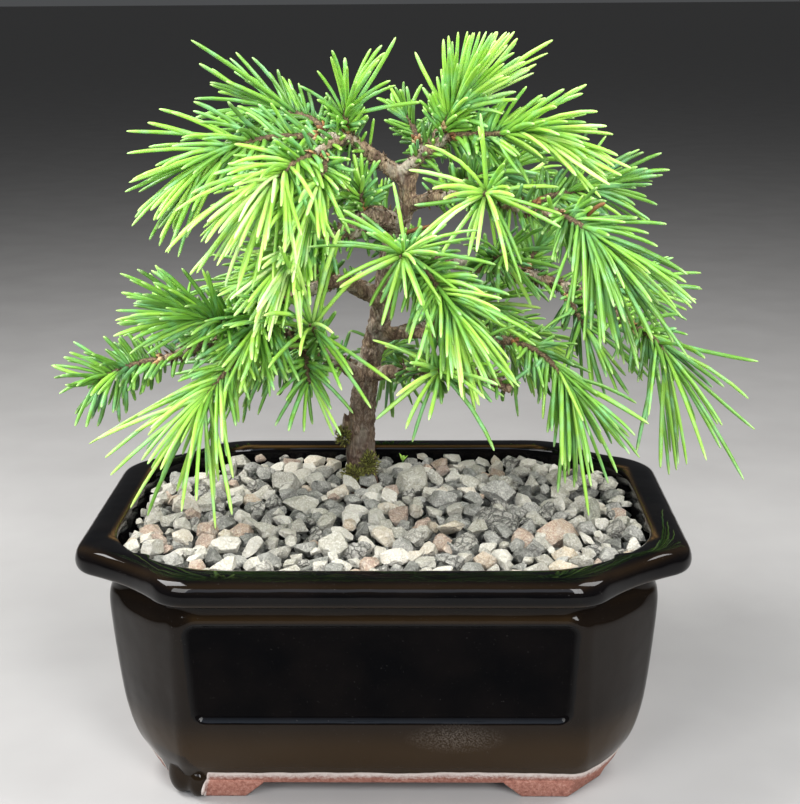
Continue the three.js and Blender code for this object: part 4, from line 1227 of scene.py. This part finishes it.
# Each shoot: reach is how long its needles are, count how many the frame's solid has, and crowd
# how many stand here for each of those. Lean is the angle in degrees between needle and twig at
# the foot and at the tip, droop how far the needles hang and youth how young they are. Seat is how
# far from its first point the twig leaves the bark, bare the share of it without needles, foot the
# share of their length that its first needles have, and fan_from where the long ones begin. Tips
# are where single long needles end, and points are the twig's
SHOOTS = {
    "top_left_outer": dict(
        reach=20, count=28, lean=(54, 14), droop=0.12, youth=0.48, foot=0.55, tips=[(-65.7, -5, 168.7)],
        points=[(-17, 9, 166), (-32, 0, 166), (-42, -5, 163), (-47, -8, 159)]),
    "top_left_crown": dict(
        reach=17, count=20, lean=(60, 22), youth=0.4, seat=2.2, tips=[(-49.1, 2, 191.2)],
        points=[(-14, 10, 166), (-19, 13, 170), (-26, 17, 172), (-33, 20, 173)]),
    "top_left_front": dict(
        reach=27, count=24, lean=(56, 12), droop=0.22, youth=0.7,
        points=[(-18, 3, 162), (-23, -4, 160), (-28, -14, 156)]),
    "top_left_low": dict(
        reach=20, count=20, lean=(54, 12), droop=0.25, youth=0.72, seat=2.1,
        points=[(-15.5, 5.5, 163), (-15, 2, 158.5), (-17, -4, 154), (-19, -9, 150)]),
    "crown_left": dict(
        reach=15, count=18, lean=(56, 20), droop=-0.1, youth=0.48, seat=2.4, crowd=1.7,
        tips=[(3.6, 8, 191.5), (10.4, 8, 174.8)], points=[(-9, 12, 165), (-10, 10, 171), (-9, 8, 175)]),
    "crown_right": dict(
        reach=21, count=24, lean=(52, 16), droop=-0.15, youth=0.68, seat=3.9,
        tips=[(8.6, 8, 187.7), (16, 6, 191), (39.4, 4, 188)],
        points=[(15, 11, 164), (17, 9, 170), (21, 6, 175)]),
    "crown_right_long": dict(
        reach=18, count=26, lean=(50, 12), youth=0.6, seat=0.9, foot=0.6, crowd=4.2,
        points=[(18, 10, 166), (30, 1, 167), (37, -4, 168), (43, -8, 166)]),
    "right_shoulder": dict(
        reach=26, count=28, lean=(60, 26), droop=0.4, youth=0.34, seat=0.7, fan_from=0.3,
        points=[(45, -12, 148), (50, -18, 146), (55, -22, 141)]),
    "right_upper": dict(
        reach=15, count=20, lean=(68, 18), droop=0.1, youth=0.34, seat=1.8,
        points=[(38, -8, 148.7), (43, -3, 151), (50, 1, 152), (58, 4, 153)]),
    "star_upper": dict(
        reach=19, count=20, lean=(94, 24), droop=0.12, youth=0.7, seat=2.4, foot=0.85, fan_from=0,
        crowd=1.5, points=[(27, 0, 151), (27, -9, 153), (26, -14, 153)]),
    "star_middle": dict(
        reach=18, count=24, lean=(92, 24), droop=0.2, youth=0.62, foot=0.85, fan_from=0, crowd=1.3,
        points=[(6, -6, 137), (6, -12, 138), (5, -18, 138)]),
    "middle_drooping": dict(
        reach=23, count=24, lean=(58, 20), droop=0.22, youth=0.6, seat=2, foot=0.6, fan_from=0.3,
        points=[(5.5, 0, 136), (11, -5, 132), (15, -12, 128), (18.5, -18, 122.5)]),
    "left_middle": dict(
        reach=18, count=24, lean=(54, 12), droop=0.25, youth=0.78, foot=0.6,
        points=[(-15, 1, 140), (-20, -6, 139), (-25, -14, 135)]),
    "left_tuft": dict(
        reach=7, count=12, lean=(62, 16), youth=0.46, seat=2.8, crowd=2.0,
        points=[(-5, 11, 144), (-6, 9, 150), (-6, 8, 154)]),
    "left_high": dict(
        reach=18, count=20, lean=(60, 18), droop=-0.1, youth=0.41, seat=2.6,
        points=[(-37, 3, 117), (-42, -5, 119), (-50, -11, 121)]),
    "left_inner": dict(
        reach=18, count=18, droop=0.3, youth=0.46, seat=3.1,
        points=[(-27, 6, 122), (-31, -2, 121), (-33, -9, 118)]),
    "left_outer": dict(
        reach=11, count=22, lean=(72, 44), droop=0.05, youth=0.36, foot=0.7, crowd=4.2,
        points=[(-59, -3, 108), (-66, -4, 107), (-72, -5, 105), (-77, -6, 103)]),
    "left_far": dict(
        reach=13, count=17, lean=(70, 20), droop=0.1, youth=0.42, seat=1.9,
        points=[(-45, 0.5, 112.5), (-52, 8, 115), (-60, 14, 116)]),
    "left_low_fan": dict(
        reach=27, count=30, lean=(56, 28), droop=0.35, youth=0.58, seat=1.2, foot=0.36, fan_from=0.5,
        tips=[(-76.9, -20, 89.2), (-72.5, -22, 86)],
        points=[(-27, 3, 114), (-35, -7, 112.5), (-40, -13, 108), (-44, -18, 104), (-47, -21, 100)]),
    "left_low_back": dict(
        reach=18, count=17, droop=0.3, youth=0.38, seat=1.9,
        points=[(-17, 13, 106), (-26, 19, 106), (-35, 23, 103)]),
    "star_left": dict(
        reach=26, count=16, lean=(94, 24), droop=0.08, youth=0.62, seat=3.8, bare=0.5, foot=0.85,
        fan_from=0, crowd=1.2, points=[(-18.5, 11.5, 107), (-18, 2, 113), (-19, -11, 119)]),
    "left_hanging": dict(
        reach=16, count=16, lean=(66, 22), droop=0.4, youth=0.48, seat=2, crowd=1.4,
        points=[(-22, 8, 109), (-21, 0, 105), (-20, -6, 102)]),
    "star_low": dict(
        reach=19, count=20, lean=(96, 26), droop=0.15, youth=0.68, seat=1.2, foot=0.85, fan_from=0,
        crowd=0.9, points=[(14, -8, 106), (14.6, -15, 107.5), (15, -20, 108.5)]),
    "right_low_fan": dict(
        reach=24, count=26, lean=(60, 36), droop=0.75, youth=0.42, seat=0.6, bare=0.2, fan_from=0.4,
        crowd=3.0, points=[(35, 4, 111), (42, -2, 109), (46, -7, 106), (50, -12, 101)]),
    "right_under": dict(
        reach=19, count=18, droop=0.35, youth=0.36, seat=4, crowd=2.2,
        points=[(52, 43.5, 118.5), (55, 35, 113), (58, 28, 108)]),
    "right_back": dict(
        reach=20, count=17, droop=0.15, youth=0.37, seat=1.5,
        points=[(60, 38, 117), (67, 44, 118), (74, 50, 117)]),
    "right_outer": dict(
        reach=29, count=29, lean=(60, 28), droop=0.64, youth=0.38, fan_from=0.35, crowd=1.6,
        tips=[(104.4, 6, 104.2), (102.5, 6, 85.2), (79.6, 8, 71.4)],
        points=[(70, 24, 111), (73, 19, 110), (76, 14, 108), (78, 10, 105)]),
    "right_inner_tuft": dict(
        reach=15, count=16, lean=(66, 18), droop=-0.05, seat=2.1, crowd=2.4,
        points=[(40, 42, 123), (43, 44, 128), (46, 46, 132)]),
    "centre_right": dict(
        reach=17, count=16, lean=(70, 20), droop=0.1, youth=0.37, seat=2, crowd=2.2,
        points=[(28, 36, 126), (31, 27, 130), (34, 19, 132)]),
    "crown_back": dict(
        reach=16, count=18, droop=0.05, seat=0.6, points=[(14, 44, 165), (17, 52, 165), (19, 60, 163)]),
    "crown_middle": dict(
        reach=8, count=15, lean=(64, 18), droop=-0.1, seat=2.6, crowd=2.2,
        points=[(10, 30, 160), (8, 33, 166), (5, 36, 171)]),
    "back_left_upper": dict(
        reach=20, count=18, droop=0.2, seat=0.6,
        points=[(-20, 46, 149), (-27, 52, 148), (-34, 58, 145)]),
    "back_left_high": dict(
        reach=18, count=15, seat=2.6, points=[(-8, 34, 146), (-16, 32, 150), (-23, 31, 153)]),
    "back_right_upper": dict(
        reach=20, count=18, droop=0.2, points=[(29, 52, 149), (35, 59, 148), (41, 65, 144)]),
    "back_right_high": dict(
        reach=18, count=15, seat=1.9, points=[(18, 38, 148), (25, 34, 152), (33, 32, 154)]),
    "back_left_middle": dict(
        reach=20, count=18, droop=0.25, points=[(-28, 54, 119), (-36, 60, 118), (-44, 66, 114)]),
    "back_left_inner": dict(
        reach=18, count=15, droop=0.1, seat=2.1,
        points=[(-14, 42, 121), (-22, 37, 125), (-29, 33, 127)]),
    "back_middle": dict(
        reach=20, count=18, lean=(70, 20), droop=0.25,
        points=[(6, 58, 127), (7, 66, 126), (8, 74, 122)]),
    "back_middle_high": dict(
        reach=18, count=15, seat=2.4, points=[(4, 44, 129), (0, 48, 134), (-3, 53, 138)]),
    "back_right_low": dict(
        reach=21, count=18, droop=0.35, points=[(28, 56, 104), (35, 62, 102), (42, 67, 97)]),
    "back_right_inner": dict(
        reach=18, count=15, droop=0.15, seat=2.7, points=[(12, 44, 107), (20, 43, 112), (27, 42, 114)]),
    "back_left_low": dict(
        reach=21, count=18, droop=0.35, points=[(-32, 52, 96), (-40, 57, 94), (-48, 62, 90)]),
    "back_low": dict(
        reach=20, count=17, lean=(70, 20), droop=0.35, points=[(-2, 60, 95), (-1, 67, 94), (0, 74, 90)]),
}

# The lengths that needles come in, as shares of the shoot's reach
LENGTH_SHARES = [0.7, 0.82, 0.88, 0.92, 0.96, 0.98, 1.0, 1.02, 1.04, 1.06, 1.1, 1.2]
# The side the grower keeps open along the foot of each twig, so that its bark shows
OPEN_SIDE = unit(np.array([0, -0.9, 0.42]))
OPEN_WIDTH = 0.72


def on_open_side(outward, t, fan_from):
    return float(outward @ OPEN_SIDE) > OPEN_WIDTH and t < fan_from + FAN_SPREAD / 2


def needles_along(path, reach, number, lean, droop, youth, bare, foot, fan_from, draw):
    """Needles wound round a twig: short at its foot, long, young and leaning at its tip."""
    steps = len(path) - 1
    tangents = np.gradient(path, axis=0)
    blades = []
    for k in range(number):
        t = bare + (1 - bare) * ((k + 0.5) / number) ** TIP_CROWDING
        at = min(int(t * steps), steps - 1)
        centre = mix(path[at], path[at + 1], t * steps - at)
        axis = unit(tangents[at])
        outward = wound(axis, k * GOLDEN_ANGLE + draw.gauss(0, 0.35))
        if on_open_side(outward, t, fan_from):
            continue
        angle = math.radians(max(LEAST_LEAN, mix(*lean, t**1.4) + draw.gauss(0, 10)))
        direction = axis * math.cos(angle) + outward * math.sin(angle)
        direction[2] -= droop * DROOP_SHARE
        direction = unit(direction)
        root = centre + outward * mix(TWIG_RADIUS, TWIG_TIP_RADIUS, t) * 0.7
        length = reach * mix(foot, TIP_SHARE, smooth_step((t - fan_from) / FAN_SPREAD))
        length *= draw.choice(LENGTH_SHARES) * draw.uniform(0.94, 1.06)
        length = length_inside(root, direction, length)
        side = any_side(direction, draw)
        arch = np.array([0, 0, 1.0]) - direction * direction[2]
        bow = arch * length * ARCH_SHARE * draw.uniform(0.2, 1.6) + side * draw.gauss(0, 0.4)
        width = NEEDLE_RADIUS * draw.uniform(0.88, 1.1)
        tone = min(max(youth * mix(0.6, 1.12, t) + draw.gauss(0, 0.13), 0.02), 1)
        blades.append(blade(NEEDLE_SHAPE, root, direction, side, length, width, bow, tone))
    return blades


def needle_to(path, tip, youth, draw):
    """A long single needle from the middle of a twig towards a point of the plan."""
    root = path[len(path) // 2]
    direction = unit(np.array(tip, float) - root)
    length = length_inside(root, direction, math.dist(root, tip))
    side = any_side(direction, draw)
    return blade(NEEDLE_SHAPE, root, direction, side, length, NEEDLE_RADIUS, side * 0.6, youth)


def short_needles(path, draw):
    """Stubby needles, cut or slow to grow, round the lower half of a twig."""
    blades = []
    for k in range(SHORT_NEEDLES):
        at = draw.randrange(1, len(path) // 2)
        axis = unit(path[at + 1] - path[at])
        outward = wound(axis, k * GOLDEN_ANGLE + draw.gauss(0, 0.4))
        if on_open_side(outward, 0, 0):
            continue
        direction = unit(axis * draw.uniform(0.2, 1.1) + outward)
        root = path[at] + outward * TWIG_RADIUS * 0.7
        side = any_side(direction, draw)
        width = NEEDLE_RADIUS * draw.uniform(1, 1.2)
        size = draw.uniform(3, 9)
        bow = side * draw.gauss(0, 0.15)
        tone = draw.uniform(0.15, 0.55)
        blades.append(blade(NEEDLE_SHAPE, root, direction, side, size, width, bow, tone))
    return blades


def scales_along(path, draw):
    """Papery bud scales that wrap the twig's foot."""
    blades = []
    axis = unit(path[3] - path[0])
    for k in range(BUD_SCALES):
        outward = wound(axis, k * GOLDEN_ANGLE)
        direction = unit(axis + outward * draw.uniform(0.2, 0.6))
        root = path[0] + axis * (k * 0.16) + outward * TWIG_RADIUS * 0.85
        side = unit(np.cross(direction, outward))
        size = draw.uniform(1.4, 2.4)
        blades.append(
            blade(SCALE_SHAPE, root, direction, side, size, 0.75, outward * 0.15, draw.random())
        )
    return blades


def blade_mesh(name, blades, material):
    thing = strewn(
        name,
        [(shape, placed) for shape, placed, _ in blades],
        needle_tone=[tone for _, _, tone in blades],
        needle_along=[shape.points[:, 2] for shape, _, _ in blades],
    )
    thing.data.materials.append(material)
    return thing


def make_shoot(
    number, reach, count, points, lean=(68, 20), droop=0, youth=0.45, seat=END_SEAT, bare=0.0,
    foot=FOOT_SHARE, fan_from=FAN_FROM, crowd=NEEDLE_CROWD, tips=(),
):
    """One shoot: its twig, seated on the limb, with its needles and bud scales."""
    draw = random.Random(SHOOT_SEED + number * 17)
    hand_set = [np.array(p, float) for p in points]
    hand_set[0] = hand_set[0] + unit(hand_set[1] - hand_set[0]) * (seat - SEAT_DEPTH)
    path = smooth_path(hand_set, TWIG_STEPS)
    dense = round(count * crowd)
    needles = needles_along(path, reach, dense, lean, droop, youth, bare, foot, fan_from, draw)
    needles += [needle_to(path, tip, youth, draw) for tip in tips]
    needles += short_needles(path, draw)
    radii = np.linspace(TWIG_RADIUS, TWIG_TIP_RADIUS, len(path))
    twig = tube("twig", [plan(*p) for p in path], radii)
    twig.data.materials.append(TWIG_SKIN)
    scales = blade_mesh("scales", scales_along(path, draw), BUD_SCALE)
    return joined([blade_mesh("needles", needles, NEEDLE), twig, scales])


for number, (name, row) in enumerate(SHOOTS.items()):
    spray = make_shoot(number, **row)
    dress(spray, "needles_" + name, "needles", [], "spray_" + name)

# The share of each limb from which it still carries cut needles, and how many for each millimetre
CUT_FROM = {
    1: 0.62, 2: 0.1, 3: 0.2, 4: 0.35, 5: 0.3, 6: 0.55, 7: 0.45, 8: 0.35, 9: 0.3, 10: 0.4, 11: 0.45,
}
CUT_FROM_ELSEWHERE = 0.4
CUT_CROWD = 1.5
# The share of each thin limb from which pegs stand on it, and how many for each millimetre
PEGS_FROM = {1: 0.3, 4: 0.3, 5: 0.2, 6: 0.0, 7: 0.3, 8: 0.3, 9: 0.35, 10: 0.35, 11: 0.4}
PEG_CROWD = 3.2


def along_limb(number, start, crowd, sway, draw):
    """Places wound along a limb: the point, the limb's axis there, outwards, and its radius."""
    radii, points = LIMBS[number]
    length = length_of(points)
    path = smooth_path(points, round(length))
    for k in range(int(start * length * crowd), int(length * crowd)):
        t = k / (length * crowd)
        at = int(t * (len(path) - 1))
        axis = unit(path[at + 1] - path[max(at - 1, 0)])
        outward = wound(axis, k * GOLDEN_ANGLE + draw.gauss(0, sway))
        yield path[at], axis, outward, float(np.interp(t, np.linspace(0, 1, len(radii)), radii))


def make_cut_needles():
    """Short pruned needles and buds that stand on the older wood near the shoots."""
    draw = random.Random(77)
    blades = []
    for number in range(1, len(LIMBS)):
        start = CUT_FROM.get(number, CUT_FROM_ELSEWHERE)
        for place, axis, outward, radius in along_limb(number, start, CUT_CROWD, 0.4, draw):
            angle = math.radians(draw.uniform(35, 85))
            direction = unit(axis * math.cos(angle) + outward * math.sin(angle))
            root = place + outward * radius * 0.85
            side = any_side(direction, draw)
            size = draw.uniform(2.2, 8)
            width = NEEDLE_RADIUS * draw.uniform(0.85, 1.05)
            tone = draw.uniform(0.1, 0.6)
            blades.append(blade(NEEDLE_SHAPE, root, direction, side, size, width, side * 0.2, tone))
    dress(blade_mesh("cut", blades, NEEDLE), "cut_needles", "needles", [])


def make_needle_pegs():
    """Woody pegs that fallen needles leave on thin limbs."""
    draw = random.Random(78)
    blades = []
    for number, start in PEGS_FROM.items():
        for place, axis, outward, radius in along_limb(number, start, PEG_CROWD, 0.5, draw):
            root = place + axis * draw.uniform(-0.5, 0.5) + outward * radius * 0.88
            direction = unit(outward + axis * draw.uniform(0.1, 0.9))
            side = any_side(direction, draw)
            size = draw.uniform(0.9, 2.1)
            blades.append(
                blade(SCALE_SHAPE, root, direction, side, size, 0.42, side * 0.1, draw.random())
            )
    dress(blade_mesh("pegs", blades, TWIG_SKIN), "needle_pegs", "bark", [])


# Moss cushions: middle, spread and how many leaves
MOSS_CUSHIONS = [
    ((-12.9, 27.9, 77.2), (2.4, 2.0, 3.0), 430),
    ((-5.2, 25.2, 69.6), (2.7, 1.2, 4.2), 430),
    ((-10.2, 24.9, 66.6), (3.4, 1.5, 2.4), 380),
]


def make_moss():
    """Cushions of tiny leaves on the foot of the trunk."""
    draw = random.Random(41)
    blades = []
    for middle, spread, number in MOSS_CUSHIONS:
        for _ in range(number):
            outward = unit(any_vector(draw))
            root = np.array(middle) + outward * spread * draw.uniform(0.25, 0.95)
            direction = unit(outward + (0, 0, 0.5))
            side = any_side(direction, draw)
            size = draw.uniform(0.6, 1.4)
            blades.append(
                blade(SCALE_SHAPE, root, direction, side, size, 0.24, side * 0.15, draw.random())
            )
    dress(blade_mesh("moss", blades, MOSS_LEAF), "moss_cushions", "needles", [])


# Dead needles: foot and tip
DEAD_NEEDLES = [((4.3, 9.5, 139.3), (14.6, 4, 142.7)), ((52, -17, 148), (56, -20, 151.6))]
DEAD_TONE = 0.25


def make_dead_needles():
    """Rust-coloured dead needles, and the dried bud at the far left shoot's tip."""
    draw = random.Random(8)
    blades = []
    for foot, tip in DEAD_NEEDLES:
        root = np.array(foot, float)
        direction = unit(tip - root)
        side = any_side(direction, draw)
        size = math.dist(foot, tip)
        blades.append(
            blade(NEEDLE_SHAPE, root, direction, side, size, NEEDLE_RADIUS, side * 0.5, DEAD_TONE)
        )
    bud = np.array(SHOOTS["left_outer"]["points"][-1], float)
    for k in range(14):
        turn = k * GOLDEN_ANGLE
        outward = np.array([-0.5, math.cos(turn), math.sin(turn)])
        direction = unit(outward * 0.6 - (1.6, 0, 0))
        side = unit(np.cross(direction, outward))
        size = draw.uniform(2, 3.4)
        tone = draw.uniform(0.2, 0.8)
        blades.append(
            blade(SCALE_SHAPE, bud + outward * 0.6, direction, side, size, 0.7, outward * 0.2, tone)
        )
    dress(blade_mesh("dead", blades, BUD_SCALE), "dead_needles", "needles", [])


# The seedling's stem, from the gravel up
SEEDLING = [(4.1, 41.6, 61.5), (4.1, 41.5, 63.6), (4.3, 41.3, 65.2)]


def make_seedling():
    """A weed seedling in the gravel: a thin stem and a few narrow leaves."""
    draw = random.Random(5)
    path = smooth_path(SEEDLING, 8)
    stem = tube("stem", [plan(*p) for p in path], np.linspace(0.35, 0.25, len(path)))
    stem.data.materials.append(NEEDLE)
    blades = []
    for k in range(4):
        turn = k * GOLDEN_ANGLE
        direction = unit(np.array([math.cos(turn), math.sin(turn), 1.2 + 0.4 * k]))
        side = unit(np.cross(direction, (0, 0, 1)))
        size = draw.uniform(1.8, 2.8)
        bow = np.array([0, 0, 0.2])
        tone = draw.uniform(0.4, 0.7)
        blades.append(blade(SCALE_SHAPE, path[-1], direction, side, size, 0.5, bow, tone))
    seedling = joined([blade_mesh("leaves", blades, NEEDLE), stem])
    dress(seedling, "seedling", "needles", [])


make_cut_needles()
make_needle_pegs()
make_dead_needles()
make_moss()
make_seedling()

# The hidden solids keep their shapes
for name, material in (
    ("soil", SOIL),
    ("drain_mesh_left", MESH_PLASTIC),
    ("drain_mesh_right", MESH_PLASTIC),
):
    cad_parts[name].data.materials.clear()
    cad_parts[name].data.materials.append(material)
